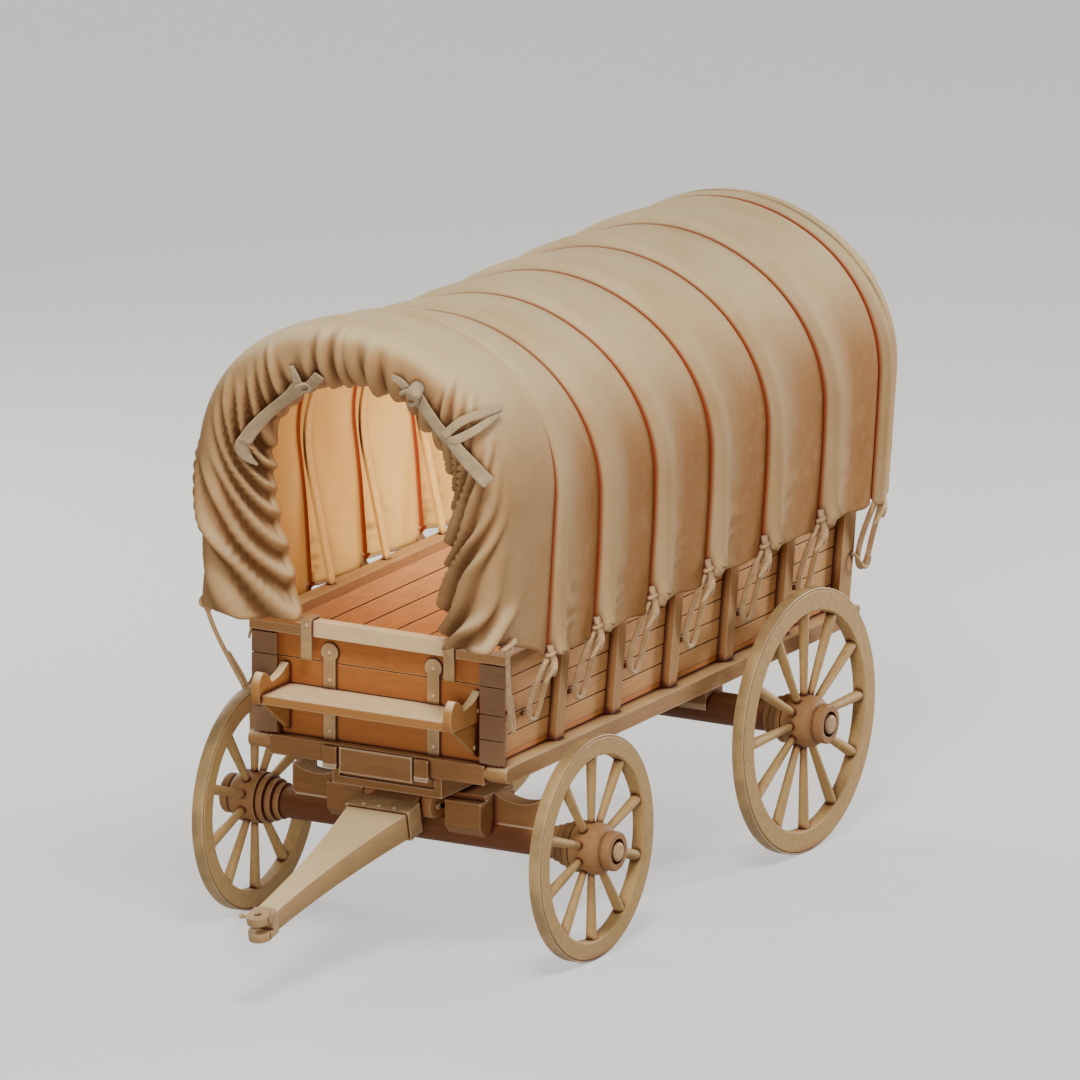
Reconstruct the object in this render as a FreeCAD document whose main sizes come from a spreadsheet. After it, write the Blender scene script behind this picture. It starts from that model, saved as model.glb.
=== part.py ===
"""Covered wagon: bed, canvas top on bent bows, drawbar and steered front gear.

The frame is millimetres with +Z up, the drawbar pointing along -Y and the ground at z = 0.
The origin lies on the ground under the middle of the overall length.
"""
import FreeCAD
import Part

import math
import os
import re

import Sketcher

# ---------------------------------------------------------------------------
# Driving sizes: alias, value, what it is. Lengths in millimetres, angles in degrees.
# ---------------------------------------------------------------------------
SIZES = [
    # Running gear
    ("front_axle_y", -830.5, "front axle, measured from the origin"),
    ("wheelbase", 2219, "front axle to rear axle"),
    ("front_wheel_radius", 560, "over the tyre"),
    ("rear_wheel_radius", 660, "over the tyre"),
    ("front_track_half", 943, "wheel centre plane to the middle of the wagon"),
    ("rear_track_half", 872, "wheel centre plane to the middle of the wagon"),
    ("front_rim_depth", 100, "felloe and tyre together"),
    ("rear_rim_depth", 113, "felloe and tyre together"),
    ("front_spoke_count", 10, "spokes in a front wheel"),
    ("rear_spoke_count", 12, "spokes in a rear wheel"),
    ("rim_width", 70, "felloe width"),
    ("rim_chamfer", 6, "felloe edge"),
    ("tyre_thickness", 10, "iron tyre"),
    ("tyre_width", 62, "iron tyre"),
    ("spoke_hub_radius", 18, "spoke at the hub"),
    ("spoke_rim_radius", 28, "spoke at the felloe"),
    ("hub_radius", 128, "hub barrel"),
    ("hub_half_barrel", 62, "half length of the barrel"),
    ("hub_inner_reach", 180, "wheel centre plane to the inner hub end"),
    ("hub_outer_reach", 149, "wheel centre plane to the outer hub end"),
    ("hub_ring_radius", 98, "outer hub band"),
    ("hub_ring_length", 45, "outer hub band"),
    ("hub_recess_radius", 63, "recess for the axle nut"),
    ("hub_recess_depth", 49, "recess for the axle nut"),
    ("hub_step", 15, "radius lost at each inner hub band"),
    ("hub_groove", 8, "width of a groove between two inner hub bands"),
    ("hub_groove_depth", 13, "depth of a groove between two inner hub bands"),
    ("spindle_radius", 40, "axle spindle in the hub"),
    ("running_clearance", 0.1, "shaft in its hole, on the radius"),
    ("seat_gap", 0.3, "between pieces that lie on each other and move"),
    ("axle_beam_radius", 80, "round axle beam"),
    ("axle_nut_radius", 48, "axle nut"),
    ("axle_nut_length", 60, "axle nut"),
    ("king_pin_radius", 18, "pin that the front gear steers about"),
    # Front gear
    ("hound_inner", 130, "half the gap between the front hounds"),
    ("hound_width", 60, "front hound"),
    ("hound_top", 750, "top of the front hounds and the saddles"),
    ("hound_depth", 106, "front hound, up and down"),
    ("hound_tail", 260, "reach of the front hounds behind the axle"),
    ("saddle_inner", 230, "inner side of an axle saddle"),
    ("saddle_width", 200, "axle saddle"),
    ("saddle_front", 186, "reach of a saddle before the axle"),
    ("saddle_rear", 150, "reach of a saddle behind the axle"),
    ("saddle_drop", 175, "height of a saddle"),
    ("saddle_chamfer", 45, "lower front edge of a saddle"),
    ("axle_bed_outer", 700, "outer end of the front axle bed, from the middle"),
    ("axle_bed_half", 52, "half width of the front axle bed"),
    ("axle_bed_top", 778, "top of the front axle bed at its ends"),
    ("axle_bed_hollow", 38, "hollow in the top of the front axle bed"),
    ("axle_bed_chamfer", 40, "lower outer edge of the front axle bed"),
    ("sand_board_half", 430, "half length of the sand board"),
    ("sand_board_front", 130, "reach of the sand board before the axle"),
    ("sand_board_rear", 140, "reach of the sand board behind the axle"),
    ("sand_board_thickness", 30, "sand board"),
    ("plate_radius", 210, "turning plates"),
    ("plate_thickness", 10, "one turning plate"),
    # Drawbar
    ("pivot_reach", 196, "drawbar pin before the front axle"),
    ("pivot_z", 712, "drawbar pin above the ground"),
    ("drawbar_slope", 12, "drawbar below level, at rest"),
    ("drawbar_eye_radius", 55, "rounded rear end about its pin"),
    ("drawbar_rear_half", 125, "half width between the hounds"),
    ("drawbar_neck_rear", 100, "pin to the end of the narrow rear part"),
    ("drawbar_shoulder", 165, "half width under the band"),
    ("drawbar_shoulder_start", 135, "pin to the wide part"),
    ("drawbar_taper_start", 250, "pin to the start of the taper"),
    ("drawbar_waist", 104, "half width part way down the taper"),
    ("drawbar_waist_reach", 640, "pin to the waist"),
    ("drawbar_neck_half", 58, "half width behind the hitch"),
    ("drawbar_thickness", 130, "at the band"),
    ("drawbar_neck_thickness", 96, "behind the hitch"),
    ("drawbar_length", 1418, "pin to the hitch bore"),
    ("drawbar_pin_radius", 16, "pin across the hounds"),
    ("band_reach", 184, "pin to the middle of the band"),
    ("band_length", 113, "band along the drawbar"),
    ("band_wall", 12, "band thickness"),
    ("hitch_radius", 58, "round hitch head"),
    ("hitch_length", 128, "hitch head, up and down"),
    ("hitch_bore_radius", 19, "bore for the hitch pin"),
    ("hitch_slot_height", 44, "slot for the mating eye"),
    ("hitch_slot_depth", 86, "slot, from the tip"),
    ("hitch_cheek", 62, "half width of the hitch socket on the drawbar"),
    ("keeper_radius", 8, "keeper stud"),
    ("keeper_length", 34, "keeper stud"),
    ("keeper_ball_radius", 13, "ball on the end of the keeper stud"),
    # Bed
    ("bed_overhang", 424, "front corner posts before the front axle"),
    ("bed_length", 3459, "front corner posts to rear corner posts"),
    ("bed_half_width", 670, "outer faces of the posts where they stand on the sills"),
    ("side_lean", 4.67, "outward lean of the sides"),
    ("sill_top", 1028, "top of the sills"),
    ("sill_depth", 80, "side sill, up and down"),
    ("sill_proud", 52, "outer face of a side sill outside the foot of the posts"),
    ("sill_width", 122, "side sill, across the wagon"),
    ("sill_nose", 28, "rounding of the front end of a side sill"),
    ("front_sill_depth", 98, "front cross sill, up and down"),
    ("cross_sill_width", 84, "cross sill, front to back"),
    ("cross_sill_depth", 70, "middle cross sills, up and down"),
    ("floor_thickness", 28, "floor boards"),
    ("floor_board_count", 7, "floor boards"),
    ("board_gap", 4, "between two boards"),
    ("side_top", 1542, "top of the side boards"),
    ("side_board_count", 5, "boards in a side"),
    ("board_thickness", 25, "side boards"),
    ("post_depth", 48, "side post, across the wagon"),
    ("post_width", 76, "side post, along the wagon"),
    ("corner_post_depth", 108, "corner post, across the wagon"),
    ("rear_post_width", 120, "rear corner post, along the wagon"),
    ("post_spacing", 555, "side post to side post"),
    ("post_count", 7, "posts in a side, with the corner posts"),
    ("rail_top", 1590, "top of the top rails"),
    ("rail_proud", 54, "outer face of a side rail outside the foot of the posts"),
    ("rail_width", 90, "side rail, across the wagon"),
    ("rail_horn", 54, "reach of a side rail behind the bed"),
    ("front_board_inset", 38, "front boards behind the front of the corner posts"),
    ("front_board_count", 4, "boards in the front panel"),
    ("strap_half_spacing", 290, "front strap irons, from the middle"),
    ("strap_width", 64, "stem of a front strap iron"),
    ("strap_head", 46, "radius of the round head of a front strap iron"),
    ("strap_thickness", 16, "front strap iron"),
    ("strap_top", 1515, "top of the front strap irons"),
    ("bar_inset", 240, "end of the seat bar inside the foot of the posts"),
    ("bar_top", 1622, "top of the seat bar"),
    ("bar_depth", 66, "seat bar, front to back"),
    ("hook_inset", 31, "middle of a hook inside the end of the seat bar"),
    ("hook_width", 58, "hook over the seat bar"),
    ("hook_thickness", 14, "hook over the seat bar"),
    ("hook_drop", 190, "hook below the bar's top"),
    ("footboard_inset", 155, "end of the footboard inside the foot of the posts"),
    ("footboard_top", 1287, "footboard above the ground"),
    ("footboard_thickness", 45, "footboard"),
    ("footboard_depth", 270, "footboard, front to back"),
    ("bracket_width", 44, "footboard bracket"),
    ("bracket_nose", 22, "reach of a bracket before the footboard"),
    ("bracket_fin", 104, "rear fin of a bracket above the footboard"),
    ("bracket_waist", 46, "notch of a bracket above the footboard"),
    ("bracket_waist_reach", 185, "notch of a bracket before the front boards"),
    ("bracket_lobe", 108, "front lobe of a bracket above the footboard"),
    ("gusset_width", 22, "gusset under a bracket"),
    ("gusset_foot", 190, "gusset below the footboard"),
    ("cleat_drop", 307, "tie cleat below the side top"),
    # Middle of the undercarriage
    ("bolster_half", 305, "front bolster block"),
    ("bolster_front", 346, "front bolster block before the axle"),
    ("bolster_rear", 150, "front bolster block behind the axle"),
    ("bolster_panel_depth", 12, "sunk panel on the block's face"),
    ("bolster_panel_edge", 40, "frame round the sunk panel"),
    ("reach_half", 50, "reach pole, half width"),
    ("reach_height", 96, "reach pole, up and down"),
    ("reach_z", 880, "middle of the reach pole"),
    ("rear_bolster_half", 370, "rear bolster"),
    ("rear_bolster_width", 170, "rear bolster, front to back"),
    ("rear_hound_spread", 300, "rear hounds at the axle, from the middle"),
    ("rear_hound_reach", 760, "rear hounds before the axle"),
    ("rear_hound_width", 56, "rear hound"),
    ("rear_hound_height", 64, "rear hound"),
    # Tailgate
    ("gate_gap", 6, "round the tailgate"),
    ("gate_thickness", 30, "tailgate boards"),
    ("gate_board_count", 4, "boards in the tailgate"),
    ("gate_hinge_radius", 14, "tailgate hinge barrel"),
    ("gate_hinge_spacing", 380, "tailgate hinges, from the middle"),
    ("gate_hinge_length", 90, "tailgate hinge pin on each side of its barrel's middle"),
    ("gate_ear_width", 40, "tailgate hinge ear on the rear sill"),
    ("gate_pin_radius", 6, "tailgate hinge pin"),
    ("gate_strap_width", 60, "tailgate strap"),
    ("gate_strap_thickness", 12, "tailgate strap"),
    # Bows and canvas
    ("bow_width", 50, "bow, along the wagon"),
    ("bow_thickness", 20, "bow"),
    ("canvas_thickness", 12, "canvas with its folds"),
    ("canvas_overhang", 180, "outside of the canvas beyond the foot of the posts"),
    ("canvas_flank", 720, "radius of the arch at its sides"),
    ("canvas_crown", 950, "radius of the arch over the ridge"),
    ("canvas_tuck", 50, "hem drawn in from the widest place of the canvas"),
    ("canvas_hem", 1560, "bottom edge of the canvas"),
    ("bow_foot_inset", 34, "bow foot inside the outer face of the side rail"),
    ("canvas_seat", 8, "canvas lying flat on each side of a bow"),
]

# Bows from front to rear: distance behind the front axle, ridge height of the canvas over it.
BOWS = [
    (-142, 3150),
    (314, 3075),
    (851, 3045),
    (1401, 3035),
    (1961, 3025),
    (2521, 3010),
    (3055, 3020),
]

# Gathered ends: distance beyond the end bow, how far the sides draw in, ridge height.
FRONT_GATHER = [
    (300, 0, 3185),
    (520, 20, 3225),
    (614, 100, 3140),
    (560, 213, 2985),
    (400, 290, 2880),
]
REAR_GATHER = [
    (120, 10, 3020),
    (215, 75, 2950),
    (259, 180, 2830),
    (219, 270, 2720),
    (120, 330, 2630),
]

# Values that follow from the driving sizes.
DERIVED = {
    "rear_axle_y": "front_axle_y + wheelbase",
    "bed_front": "front_axle_y - bed_overhang",
    "bed_rear": "bed_front + bed_length",
    "sill_outer": "bed_half_width + sill_proud",
    "sill_inner": "sill_outer - sill_width",
    "rail_outer": "bed_half_width + rail_proud",
    "rail_inner": "rail_outer - rail_width",
    "bow_foot_half": "rail_outer - bow_foot_inset",
    "canvas_half_width": "bed_half_width + canvas_overhang",
    "footboard_half_length": "bed_half_width - footboard_inset",
    "bar_half_length": "bed_half_width - bar_inset",
    "hook_half_spacing": "bar_half_length - hook_inset",
    "front_post_back": "front_board_face + board_thickness",
    "rear_post_front": "bed_rear - rear_post_width",
    "floor_top": "sill_top + floor_thickness",
    "side_height": "side_top - sill_top",
    "board_face": "bed_half_width - post_depth",
    "side_sill_bottom": "sill_top - sill_depth",
    "front_board_face": "bed_front + front_board_inset",
    "sill_front": "bed_front - 22",
    "pivot_y": "front_axle_y - pivot_reach",
    "sand_board_top": "hound_top + sand_board_thickness",
    "lower_plate_top": "sand_board_top + plate_thickness",
    "upper_plate_bottom": "lower_plate_top + seat_gap",
    "bolster_bottom": "upper_plate_bottom + plate_thickness",
    "gate_hinge_y": "bed_rear + gate_hinge_radius + gate_strap_thickness",
    "gate_hinge_z": "sill_top + 8",
    "gate_outer": "bed_rear",
    "gate_inner": "bed_rear - gate_thickness",
}

doc = FreeCAD.newDocument("CoveredWagon")
sheet = doc.addObject("Spreadsheet::Sheet", "Sizes")
for sheet_row, (alias, number, note) in enumerate(SIZES, start=1):
    sheet.set(f"A{sheet_row}", alias)
    sheet.set(f"B{sheet_row}", str(number))
    sheet.setAlias(f"B{sheet_row}", alias)
    sheet.set(f"C{sheet_row}", note)
doc.recompute()

ALIASES = {alias for alias, number, note in SIZES}
WORD = re.compile(r"[A-Za-z_]+\w*")
nodes = {}

X_AXIS = FreeCAD.Vector(1, 0, 0)
Y_AXIS = FreeCAD.Vector(0, 1, 0)
Z_AXIS = FreeCAD.Vector(0, 0, 1)
# Sketch planes: local x, local y, local z (the normal) in the wagon's axes.
PLANES = {
    "XY": (X_AXIS, Y_AXIS, Z_AXIS),
    "XZ": (X_AXIS, Z_AXIS, -Y_AXIS),
    "YZ": (Y_AXIS, Z_AXIS, X_AXIS),
}


def expand(text):
    """Return an expression with its derived names replaced and its aliases pointed at the sheet."""
    def swap(match):
        word = match.group(0)
        if word in DERIVED:
            return "(" + expand(DERIVED[word]) + ")"
        if word in ALIASES:
            return "Sizes." + word
        return word
    return WORD.sub(swap, str(text))


def value(text):
    """Return the present value of an expression."""
    return float(sheet.evalExpression(expand(text)))


def bind(item, **expressions):
    """Bind properties of a document object to expressions of the sheet."""
    for prop, text in expressions.items():
        item.setExpression(prop, expand(text))
    return item


def place(item, x="0", y="0", z="0", axis=None, angle=None):
    """Bind where an object stands, and its turn about one axis."""
    if axis is not None:
        item.Placement = FreeCAD.Placement(FreeCAD.Vector(), FreeCAD.Rotation(axis, 1))
        item.setExpression("Placement.Rotation.Angle", expand(angle))
    for letter, text in zip("xyz", (x, y, z)):
        item.setExpression("Placement.Base." + letter, expand(text))
    return item


def box(name, low, high):
    """Make a block between two corners given as expressions."""
    item = doc.addObject("Part::Box", name)
    spans = [f"({top}) - ({bottom})" for bottom, top in zip(low, high)]
    bind(item, Length=spans[0], Width=spans[1], Height=spans[2])
    return place(item, *low)


def rod(name, radius, length, start, axis="Z"):
    """Make a round bar from a start point along +X, +Y or +Z."""
    item = doc.addObject("Part::Cylinder", name)
    bind(item, Radius=radius, Height=length)
    turns = {"X": (Y_AXIS, "90"), "Y": (X_AXIS, "-90"), "Z": (None, None)}
    return place(item, *start, *turns[axis])


def draw(sketch, outlines):
    """Draw closed outlines whose corners are bound to expressions.

    A corner is (x, y). An entry ("arc", x, y) is a point that the next edge bends through.
    """
    for outline in outlines:
        corners = [point for point in outline if point[0] != "arc"]
        first = sketch.GeometryCount
        edges = []
        position = 0
        while position < len(outline):
            start = outline[position]
            position += 1
            through = None
            if position < len(outline) and outline[position][0] == "arc":
                through = outline[position][1:]
                position += 1
            end = outline[position] if position < len(outline) else outline[0]
            edges.append((start, through, end))
        for start, through, end in edges:
            first_point = FreeCAD.Vector(value(start[0]), value(start[1]), 0)
            last_point = FreeCAD.Vector(value(end[0]), value(end[1]), 0)
            if through is None:
                sketch.addGeometry(Part.LineSegment(first_point, last_point), False)
            else:
                middle = FreeCAD.Vector(value(through[0]), value(through[1]), 0)
                # The sketch solver wants every arc counterclockwise.
                if (middle - first_point).cross(last_point - first_point).z < 0:
                    first_point, last_point = last_point, first_point
                sketch.addGeometry(Part.Arc(first_point, middle, last_point), False)
        constrain(sketch, first, edges, len(corners))


def constrain(sketch, first, edges, count):
    """Tie each corner of one outline to its expressions and each arc to its middle point."""
    ends = []
    for index, (start, through, end) in enumerate(edges):
        curve = sketch.Geometry[first + index]
        reverse = False
        if through is not None:
            begin = FreeCAD.Vector(value(start[0]), value(start[1]), 0)
            reverse = (curve.StartPoint - begin).Length > (curve.EndPoint - begin).Length
        ends.append((2, 1) if reverse else (1, 2))
    for index, (start, through, end) in enumerate(edges):
        here = first + index
        following = (index + 1) % count
        sketch.addConstraint(Sketcher.Constraint(
            "Coincident", here, ends[index][1], first + following, ends[following][0]))
        for kind, text in (("DistanceX", start[0]), ("DistanceY", start[1])):
            number = sketch.addConstraint(Sketcher.Constraint(
                kind, -1, 1, here, ends[index][0], value(text)))
            sketch.setExpression(f"Constraints[{number}]", expand(text))
        if through is not None:
            sketch.addGeometry(Part.Point(FreeCAD.Vector(value(through[0]), value(through[1]), 0)), True)
            helper = sketch.GeometryCount - 1
            for kind, text in (("DistanceX", through[0]), ("DistanceY", through[1])):
                number = sketch.addConstraint(Sketcher.Constraint(kind, -1, 1, helper, 1, value(text)))
                sketch.setExpression(f"Constraints[{number}]", expand(text))
            sketch.addConstraint(Sketcher.Constraint("PointOnObject", helper, 1, here))


def prism(name, plane, outlines, start, depth):
    """Extrude closed outlines from a start along the plane's positive wagon axis."""
    sketch = doc.addObject("Sketcher::SketchObject", name + "_outline")
    axes = PLANES[plane]
    sketch.Placement = FreeCAD.Placement(FreeCAD.Vector(), FreeCAD.Rotation(*axes, "XYZ"))
    letter = {"XY": "z", "XZ": "y", "YZ": "x"}[plane]
    sketch.setExpression("Placement.Base." + letter, expand(start))
    draw(sketch, outlines)
    item = doc.addObject("Part::Extrusion", name)
    item.Base = sketch
    item.DirMode = "Normal"
    item.Solid = True
    bind(item, **{"LengthRev" if plane == "XZ" else "LengthFwd": depth})
    if plane == "XZ":
        item.LengthFwd = 0
    return item


def body(name):
    """Start a PartDesign body."""
    return doc.addObject("PartDesign::Body", name)


def plane_of(owner, role):
    """Return one of a body's origin planes by its role."""
    return next(item for item in owner.Origin.OriginFeatures if item.Role == role)


def sketch_in(owner, name, role, outlines):
    """Draw outlines on one of a body's own origin planes."""
    sketch = owner.newObject("Sketcher::SketchObject", name)
    sketch.AttachmentSupport = [(plane_of(owner, role), "")]
    sketch.MapMode = "FlatFace"
    draw(sketch, outlines)
    return sketch


def revolve(name, outlines):
    """Turn half outlines (x along the wheel axis, y the radius) into a round body about X."""
    owner = body(name)
    sketch = sketch_in(owner, name + "_half", "XY_Plane", outlines)
    turned = owner.newObject("PartDesign::Revolution", name + "_turned")
    turned.Profile = sketch
    turned.ReferenceAxis = (sketch, ["H_Axis"])
    turned.Angle = 360
    return owner


def cut(name, base, tool):
    """Subtract one object from another."""
    item = doc.addObject("Part::Cut", name)
    item.Base = base
    item.Tool = tool
    return item


def common(name, first, second):
    """Keep what two objects share."""
    item = doc.addObject("Part::Common", name)
    item.Base = first
    item.Tool = second
    return item


def fuse(name, pieces):
    """Join objects into one solid."""
    item = doc.addObject("Part::MultiFuse", name)
    item.Shapes = pieces
    item.Refine = True
    return item


def group(name, pieces):
    """Gather separate solids into one object."""
    item = doc.addObject("Part::Compound", name)
    item.Links = pieces
    return item


def mirrored(name, source):
    """Repeat an object on the other side of the wagon."""
    item = doc.addObject("Part::Mirroring", name)
    item.Source = source
    item.Normal = (1, 0, 0)
    return item


def both_sides(name, source):
    """Gather an object and its mirror image."""
    return group(name, [source, mirrored(name + "_mirror", source)])


def keep(name, item):
    """Name a finished sub-part, which becomes one file."""
    item.Label = name
    nodes[name] = item
    return item


# ---------------------------------------------------------------------------
# Wheels
# ---------------------------------------------------------------------------
# Corner name, side of the wagon, axle name.
CORNERS = [
    ("front_left", -1, "front"),
    ("front_right", 1, "front"),
    ("rear_left", -1, "rear"),
    ("rear_right", 1, "rear"),
]


def stand_wheel(item, side, axle):
    """Put a wheel piece on its axle end, with its outer face away from the wagon."""
    place(item, f"{side} * {axle}_track_half", f"{axle}_axle_y", f"{axle}_wheel_radius",
          Z_AXIS, "180" if side < 0 else "0")
    return item


def make_tyre(corner, side, axle):
    """Iron tyre shrunk on the felloes."""
    radius = f"{axle}_wheel_radius"
    half = "tyre_width / 2"
    ring = revolve(corner + "_tyre_body", [[
        ("-" + half, f"{radius} - tyre_thickness"), (half, f"{radius} - tyre_thickness"),
        (half, radius), ("-" + half, radius)]])
    keep(corner + "_tyre", stand_wheel(ring, side, axle))


def make_felloes(corner, side, axle):
    """Wooden rim with eased edges."""
    outer = f"{axle}_wheel_radius - tyre_thickness"
    inner = f"{axle}_wheel_radius - {axle}_rim_depth"
    half = "rim_width / 2"
    ease = "rim_chamfer"
    ring = revolve(corner + "_felloes_body", [[
        (f"-{half} + {ease}", inner), (f"{half} - {ease}", inner),
        (half, f"{inner} + {ease}"), (half, f"{outer} - {ease}"),
        (f"{half} - {ease} / 2", outer), (f"-{half} + {ease} / 2", outer),
        (f"-{half}", f"{outer} - {ease}"), (f"-{half}", f"{inner} + {ease}")]])
    keep(corner + "_felloes", stand_wheel(ring, side, axle))


def hub_outline():
    """Half outline of a hub: stepped inner bands, barrel, outer band and nut recess."""
    bore = "spindle_radius + running_clearance"
    band = "(hub_inner_reach - hub_half_barrel - 3 * hub_groove) / 3"
    points = [("-hub_inner_reach", bore)]
    reach = "-hub_inner_reach"
    for step in (3, 2, 1):
        radius = f"hub_radius - {step} * hub_step + 8"
        points.append((reach, radius))
        reach = f"{reach} + {band}"
        points.append((reach, radius))
        points.append((reach, f"{radius} - hub_groove_depth"))
        reach = f"{reach} + hub_groove"
        points.append((reach, f"{radius} - hub_groove_depth"))
    ring_start = "hub_outer_reach - hub_ring_length"
    shoulder = "hub_half_barrel - 12"
    neck = f"{ring_start} - hub_groove"
    neck_radius = "hub_ring_radius - 6"
    points += [
        ("-hub_half_barrel", "hub_radius"),
        (shoulder, "hub_radius"),
        ("arc", f"({shoulder} + {neck}) / 2 + 0.13 * (hub_radius - ({neck_radius}))",
         f"(hub_radius + {neck_radius}) / 2 + 0.13 * ({neck} - ({shoulder}))"),
        (neck, neck_radius),
        (ring_start, neck_radius),
        (ring_start, "hub_ring_radius"),
        ("hub_outer_reach - 6", "hub_ring_radius"),
        ("hub_outer_reach", "hub_ring_radius - 6"),
        ("hub_outer_reach", "hub_recess_radius"),
        ("hub_outer_reach - hub_recess_depth", "hub_recess_radius"),
        ("hub_outer_reach - hub_recess_depth", bore),
    ]
    return points


def make_hub(corner, side, axle):
    """Turned wooden hub with its bands."""
    hub = revolve(corner + "_hub_body", [hub_outline()])
    keep(corner + "_hub", stand_wheel(hub, side, axle))


def make_spokes(corner, side, axle):
    """Tapered round spokes, coped to the hub and to the rim."""
    count = int(value(f"{axle}_spoke_count"))
    reach = f"{axle}_wheel_radius - {axle}_rim_depth"
    inside = "hub_radius - 20"
    shaft = doc.addObject("Part::Cone", corner + "_spoke")
    bind(shaft, Radius1="spoke_hub_radius", Radius2="spoke_rim_radius",
         Height=f"{reach} + 20 - ({inside})")
    place(shaft, z=inside)
    copies = [shaft]
    for index in range(1, count):
        turned = doc.addObject("Part::Cone", f"{corner}_spoke_{index}")
        bind(turned, Radius1="spoke_hub_radius", Radius2="spoke_rim_radius",
             Height=f"{reach} + 20 - ({inside})")
        angle = f"{index} * 360 / {axle}_spoke_count"
        place(turned, y=f"-sin({angle}) * ({inside})", z=f"cos({angle}) * ({inside})",
              axis=X_AXIS, angle=angle)
        copies.append(turned)
    star = group(corner + "_spoke_star", copies)
    outer = rod(corner + "_rim_space", reach, "rim_width", ("-rim_width / 2", "0", "0"), "X")
    inner = rod(corner + "_hub_space", "hub_radius", "rim_width + 4", ("-rim_width / 2 - 2", "0", "0"), "X")
    sleeve = cut(corner + "_spoke_space", outer, inner)
    spokes = common(corner + "_spokes_common", star, sleeve)
    keep(corner + "_spokes", stand_wheel(spokes, side, axle))


def make_wheels():
    """Build the four wheels."""
    for corner, side, axle in CORNERS:
        make_tyre(corner, side, axle)
        make_felloes(corner, side, axle)
        make_spokes(corner, side, axle)
        make_hub(corner, side, axle)


# ---------------------------------------------------------------------------
# Axles
# ---------------------------------------------------------------------------
def make_axle(axle):
    """Round beam with a spindle at each end, and the two axle nuts."""
    shoulder = f"{axle}_track_half - hub_inner_reach - seat_gap"
    tip = f"{axle}_track_half + hub_outer_reach - hub_recess_depth + axle_nut_length / 2"
    ease = "6"
    beam = revolve(axle + "_axle_body", [[
        (f"-({tip})", "0"), (tip, "0"), (tip, "spindle_radius"),
        (shoulder, "spindle_radius"), (shoulder, f"axle_beam_radius - {ease}"),
        (f"{shoulder} - {ease}", "axle_beam_radius"),
        (f"-({shoulder}) + {ease}", "axle_beam_radius"),
        (f"-({shoulder})", f"axle_beam_radius - {ease}"),
        (f"-({shoulder})", "spindle_radius"), (f"-({tip})", "spindle_radius")]])
    keep(axle + "_axle", place(beam, "0", f"{axle}_axle_y", f"{axle}_wheel_radius"))
    floor = f"{axle}_track_half + hub_outer_reach - hub_recess_depth + seat_gap"
    end = f"{floor} + axle_nut_length"
    nut = revolve(axle + "_nut_body", [[
        (floor, "spindle_radius"), (floor, "axle_nut_radius"), (f"{end} - 10", "axle_nut_radius"),
        (f"{end} - 3", "axle_nut_radius - 4"), (end, "axle_nut_radius - 12"), (end, "0"),
        (tip, "0"), (tip, "spindle_radius")]])
    place(nut, "0", f"{axle}_axle_y", f"{axle}_wheel_radius")
    keep(axle + "_axle_nuts", both_sides(axle + "_axle_nut_pair", nut))


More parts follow.
